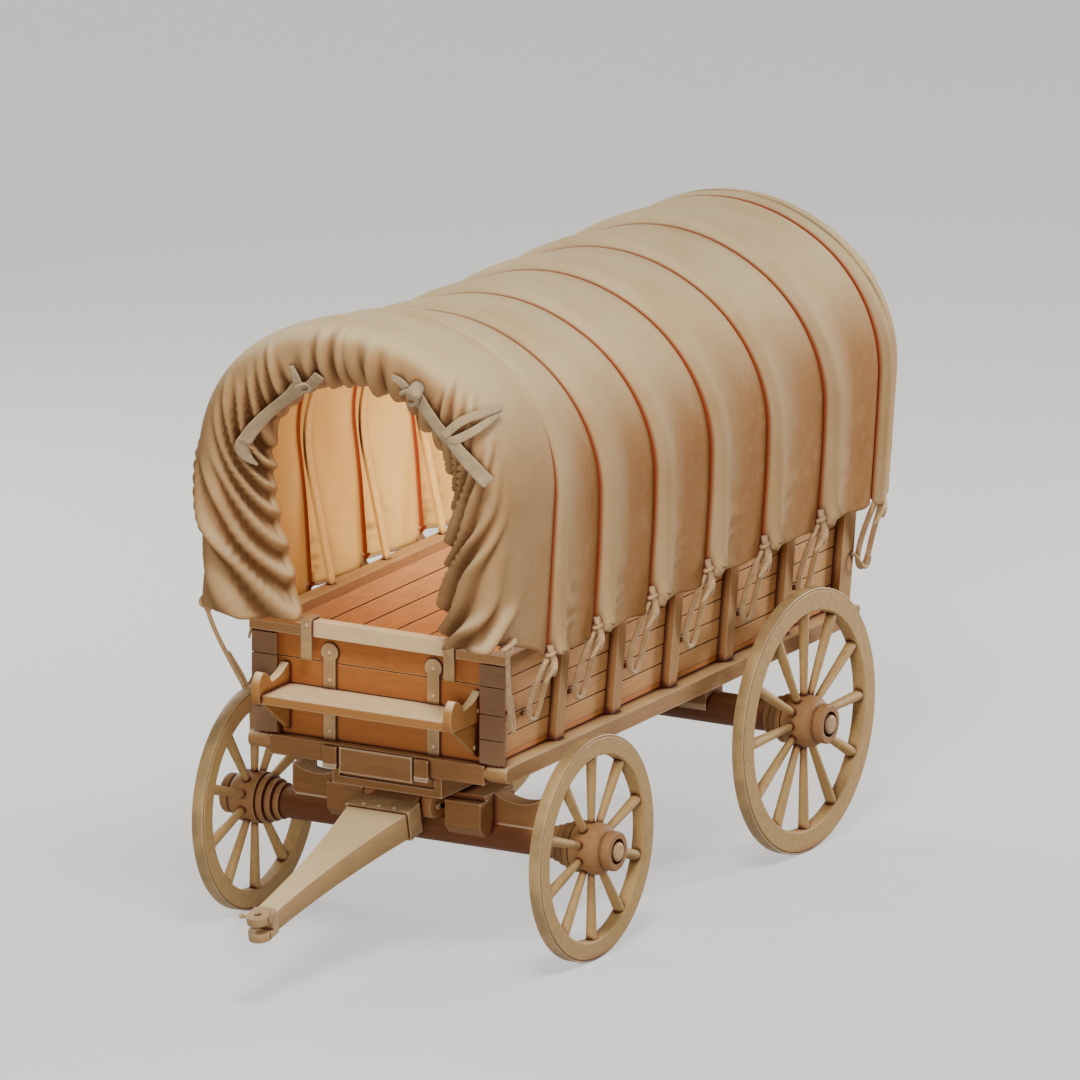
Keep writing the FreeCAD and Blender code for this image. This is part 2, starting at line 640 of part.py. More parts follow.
# ---------------------------------------------------------------------------
# Front gear, which steers about the king pin
# ---------------------------------------------------------------------------
def make_front_gear():
    """Hounds, saddles, sand board, lower turning plate and king pin."""
    ear = "drawbar_eye_radius + 5"
    bottom = "hound_top - hound_depth"
    nose = f"pivot_y - ({ear})"
    tail = "front_axle_y + hound_tail"
    hound = prism("front_hound", "YZ", [[
        (tail, f"{bottom} + 20"), (tail, "hound_top - 20"), (f"{tail} - 20", "hound_top"),
        ("pivot_y + 30", "hound_top"), ("pivot_y", f"pivot_z + {ear}"),
        ("arc", nose, "pivot_z"), ("pivot_y", f"pivot_z - ({ear})"),
        (f"{tail} - 20", bottom)]], "hound_inner", "hound_width")
    seat = rod("hound_seat", "axle_beam_radius", "2 * (hound_inner + hound_width)",
               ("-hound_inner - hound_width", "front_axle_y", "front_wheel_radius"), "X")
    seated = cut("front_hound_seated", hound, seat)
    hole = rod("hound_pin_hole", "drawbar_pin_radius", "2 * (hound_inner + hound_width)",
               ("-hound_inner - hound_width", "pivot_y", "pivot_z"), "X")
    drilled = cut("front_hound_drilled", seated, hole)
    keep("front_hounds", both_sides("front_hound_pair", drilled))

    low = "hound_top - saddle_drop"
    front = "front_axle_y - saddle_front"
    saddle = prism("axle_saddle", "YZ", [[
        (front, "hound_top"), (front, f"{low} + saddle_chamfer"), (f"{front} + saddle_chamfer", low),
        (f"front_axle_y + saddle_rear", low), (f"front_axle_y + saddle_rear", "hound_top")]],
        "saddle_inner", "saddle_width")
    bore = rod("saddle_bore", "axle_beam_radius", "saddle_width + 4",
               ("saddle_inner - 2", "front_axle_y", "front_wheel_radius"), "X")
    keep("axle_saddles", both_sides("axle_saddle_pair", cut("axle_saddle_bored", saddle, bore)))

    start = "saddle_inner + saddle_width"
    under = "front_wheel_radius + axle_beam_radius / 2"
    bed = prism("axle_bed", "XZ", [[
        (start, under), ("axle_bed_outer - axle_bed_chamfer", under),
        ("axle_bed_outer", f"{under} + axle_bed_chamfer"), ("axle_bed_outer", "axle_bed_top"),
        ("arc", f"(axle_bed_outer + {start}) / 2", "axle_bed_top - axle_bed_hollow"),
        (start, "axle_bed_top")]],
        "front_axle_y - axle_bed_half", "2 * axle_bed_half")
    rest = rod("axle_bed_rest", "axle_beam_radius", "axle_bed_outer",
               ("0", "front_axle_y", "front_wheel_radius"), "X")
    keep("front_axle_bed", both_sides("axle_bed_pair", cut("axle_bed_seated", bed, rest)))

    board = box("sand_board_plank",
                ("-sand_board_half", "front_axle_y - sand_board_front", "hound_top"),
                ("sand_board_half", "front_axle_y + sand_board_rear", "sand_board_top"))
    shaft = rod("sand_board_hole", "king_pin_radius", "sand_board_thickness + 4",
                ("0", "front_axle_y", "hound_top - 2"))
    keep("sand_board", cut("sand_board_drilled", board, shaft))

    disc = rod("lower_plate_disc", "plate_radius", "plate_thickness",
               ("0", "front_axle_y", "sand_board_top"))
    plate_hole = rod("lower_plate_hole", "king_pin_radius", "plate_thickness + 4",
                     ("0", "front_axle_y", "sand_board_top - 2"))
    keep("lower_turning_plate", cut("lower_plate_drilled", disc, plate_hole))

    foot = "front_wheel_radius + axle_beam_radius"
    pin = rod("king_pin_shaft", "king_pin_radius", f"bolster_bottom + 60 - ({foot})",
              ("0", "front_axle_y", foot))
    keep("king_pin", pin)

    cross = rod("drawbar_pin_shaft", "drawbar_pin_radius", "2 * (hound_inner + hound_width + 14)",
                ("-(hound_inner + hound_width + 14)", "pivot_y", "pivot_z"), "X")
    keep("drawbar_pin", cross)


# ---------------------------------------------------------------------------
# Drawbar
# ---------------------------------------------------------------------------
def slope(item):
    """Stand a drawbar piece, drawn about its pin with the bar along -Y, at its slope."""
    return place(item, "0", "pivot_y", "pivot_z", X_AXIS, "drawbar_slope")


def make_drawbar():
    """Tapered drawbar, its band, the hitch head with its bore and slot, and the keeper stud."""
    plan = prism("drawbar_plan", "XY", [[
        ("-drawbar_rear_half", "drawbar_eye_radius"), ("drawbar_rear_half", "drawbar_eye_radius"),
        ("drawbar_rear_half", "-drawbar_neck_rear"), ("drawbar_shoulder", "-drawbar_shoulder_start"),
        ("drawbar_shoulder", "-drawbar_taper_start"), ("arc", "drawbar_waist", "-drawbar_waist_reach"),
        ("drawbar_neck_half", "-drawbar_length"), ("-drawbar_neck_half", "-drawbar_length"),
        ("arc", "-drawbar_waist", "-drawbar_waist_reach"),
        ("-drawbar_shoulder", "-drawbar_taper_start"), ("-drawbar_shoulder", "-drawbar_shoulder_start"),
        ("-drawbar_rear_half", "-drawbar_neck_rear")]], "-drawbar_thickness", "2 * drawbar_thickness")
    half = "drawbar_thickness / 2"
    neck = "drawbar_neck_thickness / 2"
    side = prism("drawbar_side", "YZ", [[
        ("0", "drawbar_eye_radius"), ("-drawbar_shoulder_start", half), ("-drawbar_taper_start", half),
        ("-drawbar_length", neck), ("-drawbar_length", "-" + neck),
        ("-drawbar_taper_start", "-" + half), ("-drawbar_shoulder_start", "-" + half),
        ("0", "-drawbar_eye_radius"), ("arc", "drawbar_eye_radius", "0")]],
        "-drawbar_shoulder - 10", "2 * drawbar_shoulder + 20")
    bar = common("drawbar_blank", plan, side)
    hole = rod("drawbar_pin_hole", "drawbar_pin_radius + running_clearance", "2 * drawbar_shoulder",
               ("-drawbar_shoulder", "0", "0"), "X")
    drilled = cut("drawbar_drilled", bar, hole)
    head_room = rod("hitch_room", "hitch_radius + 40", "2 * drawbar_thickness",
                    ("0", "-drawbar_length", "-drawbar_thickness"))
    keep("drawbar", slope(cut("drawbar_cut", drilled, head_room)))

    outer = box("band_outer",
                ("-drawbar_shoulder - band_wall", "-band_reach - band_length / 2", f"-{half} - band_wall"),
                ("drawbar_shoulder + band_wall", "-band_reach + band_length / 2", f"{half} + band_wall"))
    inner = box("band_inner", ("-drawbar_shoulder", "-band_reach - band_length", f"-{half}"),
                ("drawbar_shoulder", "-band_reach + band_length", half))
    keep("drawbar_band", slope(cut("band_ring", outer, inner)))
    keep("hitch_head", slope(make_hitch(neck)))


def make_hitch(neck):
    """Round jaw with a slot for the mating eye, a bore down through both ears and a socket."""
    drum = rod("hitch_drum", "hitch_radius", "hitch_length", ("0", "-drawbar_length", "-hitch_length / 2"))
    socket = box("hitch_socket", ("-hitch_cheek", "-drawbar_length", f"-{neck} - 10"),
                 ("hitch_cheek", "-drawbar_length + hitch_radius + 39", f"{neck} + 10"))
    blank = fuse("hitch_blank", [drum, socket])
    back = rod("hitch_back", "hitch_radius + 40", "4 * drawbar_thickness",
               ("0", "-drawbar_length", "-2 * drawbar_thickness"))
    trimmed = common("hitch_trimmed", blank, back)
    slot = box("hitch_slot",
               ("-hitch_radius - 20", "-drawbar_length - hitch_radius - 2", "-hitch_slot_height / 2"),
               ("hitch_radius + 20", "-drawbar_length - hitch_radius + hitch_slot_depth",
                "hitch_slot_height / 2"))
    slotted = cut("hitch_slotted", trimmed, slot)
    bore = rod("hitch_bore", "hitch_bore_radius", "hitch_length + 4",
               ("0", "-drawbar_length", "-hitch_length / 2 - 2"))
    bored = cut("hitch_bored", slotted, bore)
    level = "(hitch_slot_height + hitch_length) / 4"
    tip = "-hitch_radius - keeper_length"
    stud = rod("keeper_shaft", "keeper_radius", "keeper_length + 10", (tip, "-drawbar_length", level), "X")
    ball = doc.addObject("Part::Sphere", "keeper_ball")
    bind(ball, Radius="keeper_ball_radius")
    place(ball, tip, "-drawbar_length", level)
    return fuse("hitch_with_keeper", [bored, stud, ball])


# ---------------------------------------------------------------------------
# Undercarriage on the bed
# ---------------------------------------------------------------------------
def make_bolsters():
    """Front bolster block with the upper turning plate, reach pole, rear bolster and hounds."""
    front = "front_axle_y - bolster_front"
    block = box("bolster_block", ("-bolster_half", front, "bolster_bottom"),
                ("bolster_half", "front_axle_y + bolster_rear", "sill_top - front_sill_depth"))
    hole = rod("bolster_hole", "king_pin_radius + running_clearance", "61",
               ("0", "front_axle_y", "bolster_bottom - 1"))
    head = rod("bolster_hole_top", "king_pin_radius + running_clearance", "20",
               ("0", "front_axle_y", "bolster_bottom + 50"))
    panel = box("bolster_panel",
                ("-bolster_half + bolster_panel_edge", f"{front} - 2",
                 "bolster_bottom + bolster_panel_edge"),
                ("bolster_half - bolster_panel_edge", f"{front} + bolster_panel_depth",
                 "sill_top - front_sill_depth - bolster_panel_edge"))
    keep("front_bolster", cut("bolster_drilled", block, fuse("bolster_cuts", [hole, head, panel])))

    disc = rod("upper_plate_disc", "plate_radius", "plate_thickness",
               ("0", "front_axle_y", "upper_plate_bottom"))
    disc_hole = rod("upper_plate_hole", "king_pin_radius + running_clearance", "plate_thickness + 4",
                    ("0", "front_axle_y", "upper_plate_bottom - 2"))
    keep("upper_turning_plate", cut("upper_plate_drilled", disc, disc_hole))

    rear_front = "rear_axle_y - rear_bolster_width / 2"
    reach = box("reach_beam",
                ("-reach_half", "front_axle_y + bolster_rear", "reach_z - reach_height / 2"),
                ("reach_half", rear_front, "reach_z + reach_height / 2"))
    keep("reach_pole", reach)

    block = box("rear_bolster_block", ("-rear_bolster_half", rear_front, "rear_wheel_radius"),
                ("rear_bolster_half", "rear_axle_y + rear_bolster_width / 2", "sill_top - cross_sill_depth"))
    seat = rod("rear_bolster_seat", "axle_beam_radius", "2 * rear_bolster_half + 4",
               ("-rear_bolster_half - 2", "rear_axle_y", "rear_wheel_radius"), "X")
    keep("rear_bolster", cut("rear_bolster_seated", block, seat))

    # Each hound runs from the rear bolster's front face forward to the reach pole's side.
    start = "reach_half"
    end = "rear_hound_spread"
    near = f"{rear_front} - rear_hound_reach"
    hound = prism("rear_hound", "XY", [[
        (start, near), (start, f"{near} - rear_hound_width * 2"),
        (f"{end} + rear_hound_width", rear_front), (end, rear_front)]],
        "reach_z - rear_hound_height / 2", "rear_hound_height")
    keep("rear_hounds", both_sides("rear_hound_pair", hound))


# ---------------------------------------------------------------------------
# Bed
# ---------------------------------------------------------------------------
def lean_x(distance, height):
    """Return an expression for a leaning face: its distance at the sills plus its lean."""
    return f"{distance} + tan(side_lean) * ({height} - sill_top)"


def leaning_block(name, inner, outer, low, high, start, depth):
    """Extrude a leaning piece of the right side between two heights."""
    return prism(name, "XZ", [[
        (lean_x(inner, low), low), (lean_x(outer, low), low),
        (lean_x(outer, high), high), (lean_x(inner, high), high)]], start, depth)


def make_sills():
    """Two side sills with rounded front ends, and the cross sills between them."""
    bottom = "side_sill_bottom"
    sill = prism("side_sill", "YZ", [[
        ("sill_front + sill_nose", bottom), ("bed_rear + 10", bottom), ("bed_rear + 10", "sill_top"),
        ("sill_front + sill_nose", "sill_top"), ("arc", "sill_front", f"(sill_top + {bottom}) / 2")]],
        "sill_inner", "sill_outer - sill_inner")
    keep("side_sills", both_sides("side_sill_pair", sill))
    pieces = [box("front_cross_sill", ("-sill_inner", "sill_front", "sill_top - front_sill_depth"),
                  ("sill_inner", "sill_front + cross_sill_width", "sill_top"))]
    # Middle and rear cross sills: name and the place of its front face.
    for name, front in (
            ("bolster_cross_sill", "front_axle_y - cross_sill_width / 2"),
            ("second_cross_sill", "front_axle_y + wheelbase * 0.36"),
            ("third_cross_sill", "front_axle_y + wheelbase * 0.68"),
            ("axle_cross_sill", "rear_axle_y - cross_sill_width / 2"),
            ("rear_cross_sill", "bed_rear - cross_sill_width")):
        pieces.append(box(name, ("-sill_inner", front, "sill_top - cross_sill_depth"),
                          ("sill_inner", f"{front} + cross_sill_width", "sill_top")))
    keep("cross_sills", group("cross_sill_set", pieces))


def make_floor():
    """Floor boards laid lengthwise on the sills."""
    count = int(value("floor_board_count"))
    width = "(2 * (board_face - 0.5) + board_gap) / floor_board_count"
    boards = []
    for index in range(count):
        low = f"-(board_face - 0.5) + {index} * {width}"
        boards.append(box(f"floor_board_{index + 1}", (low, "front_post_back", "sill_top"),
                          (f"{low} + {width} - board_gap", "gate_inner - gate_gap", "floor_top")))
    keep("floor_boards", group("floor_board_set", boards))


def make_sides():
    """Leaning side boards, side posts and corner posts."""
    count = int(value("side_board_count"))
    pitch = "(side_top - floor_top + board_gap) / side_board_count"
    boards = []
    for index in range(count):
        low = f"floor_top + {index} * {pitch}"
        high = f"{low} + {pitch} - board_gap"
        boards.append(leaning_block(f"side_board_{index + 1}", "board_face - board_thickness", "board_face",
                                    low, high, "front_post_back", "rear_post_front - front_post_back"))
    right = group("side_boards_right_set", boards)
    keep("side_boards_right", right)
    keep("side_boards_left", mirrored("side_boards_left_set", right))

    posts = [leaning_block("front_corner_post", "bed_half_width - corner_post_depth", "bed_half_width",
                           "sill_top", "side_top", "bed_front", "front_post_back - bed_front")]
    for index in range(1, int(value("post_count")) - 1):
        posts.append(leaning_block(f"side_post_{index}", "board_face", "bed_half_width",
                                   "sill_top", "side_top",
                                   f"bed_front + {index} * post_spacing", "post_width"))
    rear_post = leaning_block("rear_corner_post", "bed_half_width - corner_post_depth", "bed_half_width",
                              "floor_top", "side_top", "rear_post_front", "rear_post_width")
    rear_foot = leaning_block("rear_corner_foot", "board_face", "bed_half_width", "sill_top", "floor_top",
                              "rear_post_front", "rear_post_width")
    posts.append(fuse("rear_corner_joined", [rear_post, rear_foot]))
    right = group("side_posts_right_set", posts)
    keep("side_posts_right", right)
    keep("side_posts_left", mirrored("side_posts_left_set", right))


def make_rails():
    """Top rails on the sides and on the front panel at each side of the seat bar."""
    rail = box("side_rail", ("rail_inner", "bed_front - 8", "side_top"),
               ("rail_outer", "bed_rear + rail_horn", "rail_top"))
    front = box("front_rail", ("bar_half_length", "bed_front - 8", "side_top"),
                ("rail_inner", "front_board_face + board_thickness", "rail_top"))
    keep("top_rails", both_sides("top_rail_pair", fuse("top_rail_corner", [rail, front])))


def make_front_panel():
    """Front boards between the corner posts, strap irons, seat bar and its hooks."""
    count = int(value("front_board_count"))
    pitch = "(side_top - sill_top + board_gap) / front_board_count"
    edge = "bed_half_width - corner_post_depth"
    boards = []
    for index in range(count):
        low = f"sill_top + {index} * {pitch}"
        high = f"{low} + {pitch} - board_gap"
        outline = [(f"-({lean_x(edge, low)})", low), (lean_x(edge, low), low),
                   (lean_x(edge, high), high), (f"-({lean_x(edge, high)})", high)]
        boards.append(prism(f"front_board_{index + 1}", "XZ", [outline],
                            "front_board_face", "board_thickness"))
    keep("front_boards", group("front_board_set", boards))

    half = "strap_width / 2"
    neck = f"strap_top - strap_head - sqrt(strap_head ^ 2 - ({half}) ^ 2)"
    strap = prism("strap_iron", "XZ", [[
        (f"strap_half_spacing - {half}", "sill_top"), (f"strap_half_spacing + {half}", "sill_top"),
        (f"strap_half_spacing + {half}", neck), ("arc", "strap_half_spacing", "strap_top"),
        (f"strap_half_spacing - {half}", neck)]],
        "front_board_face - strap_thickness", "strap_thickness")
    keep("front_strap_irons", both_sides("strap_iron_pair", strap))

    bar_front = "front_board_face + board_thickness - bar_depth"
    bar = box("seat_bar_block", ("-bar_half_length", bar_front, "side_top"),
              ("bar_half_length", "front_board_face + board_thickness", "bar_top"))
    keep("seat_bar", bar)

    low = "bar_top - hook_drop"
    hook = prism("bar_hook", "YZ", [[
        (bar_front, "bar_top"), (bar_front, low),
        (f"{bar_front} - hook_thickness / 2", f"{low} - hook_thickness / 2"),
        (f"{bar_front} - hook_thickness", low),
        (f"{bar_front} - hook_thickness", "bar_top + hook_thickness"),
        ("front_board_face + board_thickness + hook_thickness", "bar_top + hook_thickness"),
        ("front_board_face + board_thickness + hook_thickness", "bar_top - 40"),
        ("front_board_face + board_thickness", "bar_top - 40"),
        ("front_board_face + board_thickness", "bar_top")]],
        "hook_half_spacing - hook_width / 2", "hook_width")
    keep("seat_bar_hooks", both_sides("bar_hook_pair", hook))


def make_footboard():
    """Footboard and the two cut brackets that carry it."""
    back = "front_board_face - strap_thickness"
    front = f"{back} - footboard_depth"
    under = "footboard_top - footboard_thickness"
    plank = box("footboard_plank", ("-footboard_half_length", front, under),
                ("footboard_half_length", back, "footboard_top"))
    keep("footboard", plank)
    wall = "front_board_face"
    waist = f"{wall} - bracket_waist_reach"
    nose = f"{front} - bracket_nose"
    plate = prism("bracket_plate", "YZ", [[
        (wall, under), (wall, "footboard_top + bracket_fin - 10"),
        (f"{wall} - 24", "footboard_top + bracket_fin"),
        ("arc", f"({wall} - 24 + {waist}) / 2", "footboard_top + (bracket_fin + bracket_waist) / 2 - 16"),
        (waist, "footboard_top + bracket_waist"),
        ("arc", f"({waist} + {nose} + 40) / 2 + 6",
         "footboard_top + (bracket_waist + bracket_lobe) / 2 + 14"),
        (f"{nose} + 40", "footboard_top + bracket_lobe"),
        ("arc", nose, "footboard_top + bracket_lobe / 2"), (f"{nose} + 14", under)]],
        "footboard_half_length", "bracket_width")
    gusset = prism("bracket_gusset", "YZ", [[
        (wall, f"{under} - gusset_foot"), (wall, under), (f"{nose} + 40", under),
        (f"{wall} - 40", f"{under} - gusset_foot + 20")]],
        "footboard_half_length", "gusset_width")
    bracket = fuse("footboard_bracket", [plate, gusset])
    keep("footboard_brackets", both_sides("footboard_bracket_pair", bracket))


def make_cleats():
    """Tie cleats on the side boards, one below the foot of each bow: a peg with a hooked end."""
    cleats = []
    height = "side_top - cleat_drop"
    face = lean_x("board_face", height)
    for number, (behind, ridge) in enumerate(BOWS[:-1], start=1):
        middle = f"front_axle_y + {behind}"
        peg = prism(f"cleat_{number}", "XZ", [[
            (lean_x("board_face", f"{height} - 16"), f"{height} - 16"), (f"{face} + 34", f"{height} - 10"),
            (f"{face} + 44", f"{height} + 4"), (f"{face} + 44", f"{height} + 30"),
            (f"{face} + 32", f"{height} + 30"), (f"{face} + 32", f"{height} + 8"),
            (lean_x("board_face", f"{height} + 8"), f"{height} + 8")]],
            f"{middle} - 12", "24")
        cleats.append(peg)
    keep("tie_cleats", both_sides("tie_cleat_set", group("tie_cleats_right", cleats)))


# ---------------------------------------------------------------------------
# Tailgate
# ---------------------------------------------------------------------------
def make_tailgate():
    """Boards, straps with hinge barrels, and the hinge pins on the rear sill."""
    count = int(value("gate_board_count"))
    bottom = "floor_top - 20"
    pitch = f"(side_top - ({bottom}) + board_gap) / gate_board_count"
    edge = "bed_half_width - corner_post_depth - gate_gap"
    boards = []
    for index in range(count):
        low = f"{bottom} + {index} * {pitch}"
        high = f"{low} + {pitch} - board_gap"
        outline = [(f"-({lean_x(edge, low)})", low), (lean_x(edge, low), low),
                   (lean_x(edge, high), high), (f"-({lean_x(edge, high)})", high)]
        boards.append(prism(f"tailgate_board_{index + 1}", "XZ", [outline], "gate_inner", "gate_thickness"))
    keep("tailgate_boards", group("tailgate_board_set", boards))

    half = "gate_strap_width / 2"
    strap = box("gate_strap", (f"gate_hinge_spacing - {half}", "gate_outer", "gate_hinge_z"),
                (f"gate_hinge_spacing + {half}", "gate_outer + gate_strap_thickness", "side_top - 30"))
    barrel = rod("gate_barrel", "gate_hinge_radius", "gate_strap_width",
                 (f"gate_hinge_spacing - {half}", "gate_hinge_y", "gate_hinge_z"), "X")
    neck = box("gate_neck", (f"gate_hinge_spacing - {half}", "gate_outer", "gate_hinge_z"),
               (f"gate_hinge_spacing + {half}", "gate_hinge_y", "gate_hinge_z + gate_hinge_radius"))
    joined = fuse("gate_strap_joined", [strap, barrel, neck])
    hole = rod("gate_barrel_hole", "gate_pin_radius + running_clearance", "gate_strap_width + 4",
               (f"gate_hinge_spacing - {half} - 2", "gate_hinge_y", "gate_hinge_z"), "X")
    keep("tailgate_straps", both_sides("gate_strap_pair", cut("gate_strap_drilled", joined, hole)))

    outside = "gate_hinge_spacing - gate_hinge_length"
    inside = "gate_hinge_spacing + gate_hinge_length"
    pieces = [rod("gate_pin", "gate_pin_radius", "2 * gate_hinge_length",
                  (outside, "gate_hinge_y", "gate_hinge_z"), "X")]
    for name, start in (("inner", outside), ("outer", f"{inside} - gate_ear_width")):
        pieces.append(box(f"gate_ear_{name}", (start, "bed_rear", "gate_hinge_z - 60"),
                          (f"{start} + gate_ear_width", "gate_hinge_y + gate_hinge_radius - 4",
                           "gate_hinge_z - 4")))
        pieces.append(rod(f"gate_knuckle_{name}", "gate_hinge_radius", "gate_ear_width",
                          (start, "gate_hinge_y", "gate_hinge_z"), "X"))
    keep("tailgate_hinges", both_sides("gate_hinge_pair", fuse("gate_hinge_set", pieces)))


# ---------------------------------------------------------------------------
# Bows and canvas
# ---------------------------------------------------------------------------
def arch_edges(half_width, ridge, shrink, foot):
    """Return the edges of one round arch from its right foot over the ridge to its left foot.

    Two tight flank arcs run smoothly into a wider crown arc and into straight legs.
    shrink moves the whole curve inward by that much, and foot is the right end (x, z) of a leg.
    """
    scale = half_width / value("canvas_half_width")
    flank = value("canvas_flank") * scale
    crown = value("canvas_crown") * scale
    centre_x = half_width - flank
    centre_rise = math.sqrt((crown - flank) ** 2 - centre_x ** 2)
    centre_z = ridge - crown + centre_rise
    radius = flank - shrink
    leg_x, leg_z = foot[0] - centre_x, foot[1] - centre_z
    leg_angle = math.atan2(leg_z, leg_x) + math.acos(radius / math.hypot(leg_x, leg_z))
    crown_angle = math.atan2(centre_rise, centre_x)

    def on_flank(angle):
        return FreeCAD.Vector(centre_x + radius * math.cos(angle), 0, centre_z + radius * math.sin(angle))

    def flip(point):
        return FreeCAD.Vector(-point.x, 0, point.z)

    start = FreeCAD.Vector(foot[0], 0, foot[1])
    spring, middle, joint = (
        on_flank(leg_angle), on_flank((leg_angle + crown_angle) / 2), on_flank(crown_angle))
    peak = FreeCAD.Vector(0, 0, ridge - shrink)
    return [
        Part.LineSegment(start, spring),
        Part.Arc(spring, middle, joint),
        Part.Arc(joint, peak, flip(joint)),
        Part.Arc(flip(joint), flip(middle), flip(spring)),
        Part.LineSegment(flip(spring), flip(start)),
    ]


def band_wire(y, half_width, ridge, shrinks, feet):
    """Return the closed wire between an outer and an inner arch at one place along the wagon."""
    outside, inside = (
        arch_edges(half_width, ridge, shrink, foot) for shrink, foot in zip(shrinks, feet))
    edges = [curve.toShape() for curve in outside]
    edges.append(Part.LineSegment(outside[-1].EndPoint, inside[-1].EndPoint).toShape())
    edges += [curve.toShape() for curve in reversed(inside)]
    edges.append(Part.LineSegment(inside[0].StartPoint, outside[0].StartPoint).toShape())
    wire = Part.Wire(Part.__sortEdges__(edges))
    wire.translate(FreeCAD.Vector(0, y, 0))
    return wire


def canvas_sections():
    """List the canvas sections from front to rear: place, half width, ridge."""
    axle = value("front_axle_y")
    half = value("canvas_half_width")
    flat = value("bow_width") / 2 + value("canvas_seat")
    first_place, last_place = BOWS[0][0], BOWS[-1][0]
    sections = [(axle + first_place - beyond, half - drawn_in, ridge)
                for beyond, drawn_in, ridge in reversed(FRONT_GATHER)]
    for behind, ridge in BOWS:
        sections.append((axle + behind - flat, half, ridge))
        sections.append((axle + behind + flat, half, ridge))
    sections += [(axle + last_place + beyond, half - drawn_in, ridge)
                 for beyond, drawn_in, ridge in REAR_GATHER]
    return sections


def make_canvas():
    """One closed canvas sheet over the bows, drawn in at both ends and open underneath."""
    thickness = value("canvas_thickness")
    hem = value("canvas_hem")
    wires = []
    for y, half, ridge in canvas_sections():
        foot = half * (1 - value("canvas_tuck") / value("canvas_half_width"))
        wires.append(band_wire(y, half, ridge, (0, thickness), ((foot, hem), (foot - thickness, hem))))
    # Both ends roll inward behind their own lip, so each length is lofted apart and then joined.
    lengths = [Part.makeLoft([fore, aft], True, True) for fore, aft in zip(wires, wires[1:])]
    cover = doc.addObject("Part::Feature", "canvas_sheet")
    cover.Shape = lengths[0].multiFuse(lengths[1:]).removeSplitter()
    keep("canvas_cover", cover)


def make_bows():
    """Bent wooden bows inside the canvas, whose feet draw in to stand on the side rails."""
    outer = value("canvas_thickness") + value("seat_gap")
    inner = outer + value("bow_thickness")
    half_foot = value("bow_thickness") / 2
    foot = value("bow_foot_half")
    feet = ((foot + half_foot, value("rail_top")), (foot - half_foot, value("rail_top")))
    solids = []
    for behind, ridge in BOWS:
        wire = band_wire(value("front_axle_y") + behind - value("bow_width") / 2,
                         value("canvas_half_width"), ridge, (outer, inner), feet)
        solids.append(Part.Face(wire).extrude(FreeCAD.Vector(0, value("bow_width"), 0)))
    bows = doc.addObject("Part::Feature", "bow_set")
    bows.Shape = Part.makeCompound(solids)
    keep("bows", bows)


def check(items):
    """Stop with a message if any object failed."""
    for item in doc.Objects:
        if "Invalid" in item.State or "Error" in item.State:
            raise RuntimeError(f"{item.Name} ({item.Label}) is {item.State}")
    for name, item in items.items():
        if item.Shape.isNull() or not item.Shape.isValid():
            raise RuntimeError(f"{name} has no valid shape")
        if not item.Shape.Solids:
            raise RuntimeError(f"{name} has no solid")


def main():
    """Build the wagon and write one file for each sub-part."""
    make_wheels()
    make_axle("front")
    make_axle("rear")
    make_front_gear()
    make_drawbar()
    make_bolsters()
    make_sills()
    make_floor()
    make_sides()
    make_rails()
    make_front_panel()
    make_footboard()
    make_cleats()
    make_tailgate()
    make_bows()
    make_canvas()
    doc.recompute()
    check(nodes)
    os.makedirs("parts", exist_ok=True)
    for name, item in nodes.items():
        item.Shape.exportStep(os.path.join("parts", name + ".step"))
    print(len(nodes), "sub-parts written")


main()
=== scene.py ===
"""Covered wagon: canvas top, ties, ironwork, finishes, floor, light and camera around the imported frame."""
import logging
import math
import random
from dataclasses import dataclass
from enum import Enum

import bpy
import numpy as np
from mathutils import Matrix, Vector


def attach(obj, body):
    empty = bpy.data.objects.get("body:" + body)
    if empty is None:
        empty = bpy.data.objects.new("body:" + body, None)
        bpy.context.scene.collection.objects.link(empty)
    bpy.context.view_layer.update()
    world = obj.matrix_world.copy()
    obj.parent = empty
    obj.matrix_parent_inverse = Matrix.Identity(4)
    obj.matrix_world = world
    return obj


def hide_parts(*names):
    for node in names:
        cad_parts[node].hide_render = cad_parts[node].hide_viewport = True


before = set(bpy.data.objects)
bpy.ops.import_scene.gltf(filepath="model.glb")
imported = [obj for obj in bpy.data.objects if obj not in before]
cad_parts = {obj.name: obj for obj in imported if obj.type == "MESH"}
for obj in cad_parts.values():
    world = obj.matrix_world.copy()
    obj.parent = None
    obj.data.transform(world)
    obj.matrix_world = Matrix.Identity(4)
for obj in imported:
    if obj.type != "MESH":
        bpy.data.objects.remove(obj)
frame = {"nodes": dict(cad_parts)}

LOG = logging.getLogger("covered_wagon")
# Points nearer than this are one point, and a length this small counts as none.
SAME_POINT = 0.00005
NO_LENGTH = 1e-12
Point = tuple[float, float, float]
Colour = tuple[float, float, float]


# ---------------------------------------------------------------------------
# Small helpers for objects and numbers
# ---------------------------------------------------------------------------
def linear(red: int, green: int, blue: int) -> Colour:
    """Return a display colour as the linear colour that a shader takes.

    Args:
        red: level of red, from 0 to 255.
        green: level of green.
        blue: level of blue.

    Returns:
        The colour, each channel from 0 to 1.
    """
    def channel(level: int) -> float:
        """Return one channel in linear light."""
        share = level / 255
        return share / 12.92 if share <= 0.04045 else ((share + 0.055) / 1.055) ** 2.4
    return channel(red), channel(green), channel(blue)


def smooth(low: float, high: float, number: np.ndarray | float) -> np.ndarray | float:
    """Return 0 below low, 1 above high and a soft step between them.

    Args:
        low: where the step starts.
        high: where the step ends.
        number: the value or values to place on it.

    Returns:
        The height of the step, from 0 to 1.
    """
    share = np.clip((number - low) / (high - low), 0.0, 1.0)
    return share * share * (3 - 2 * share)


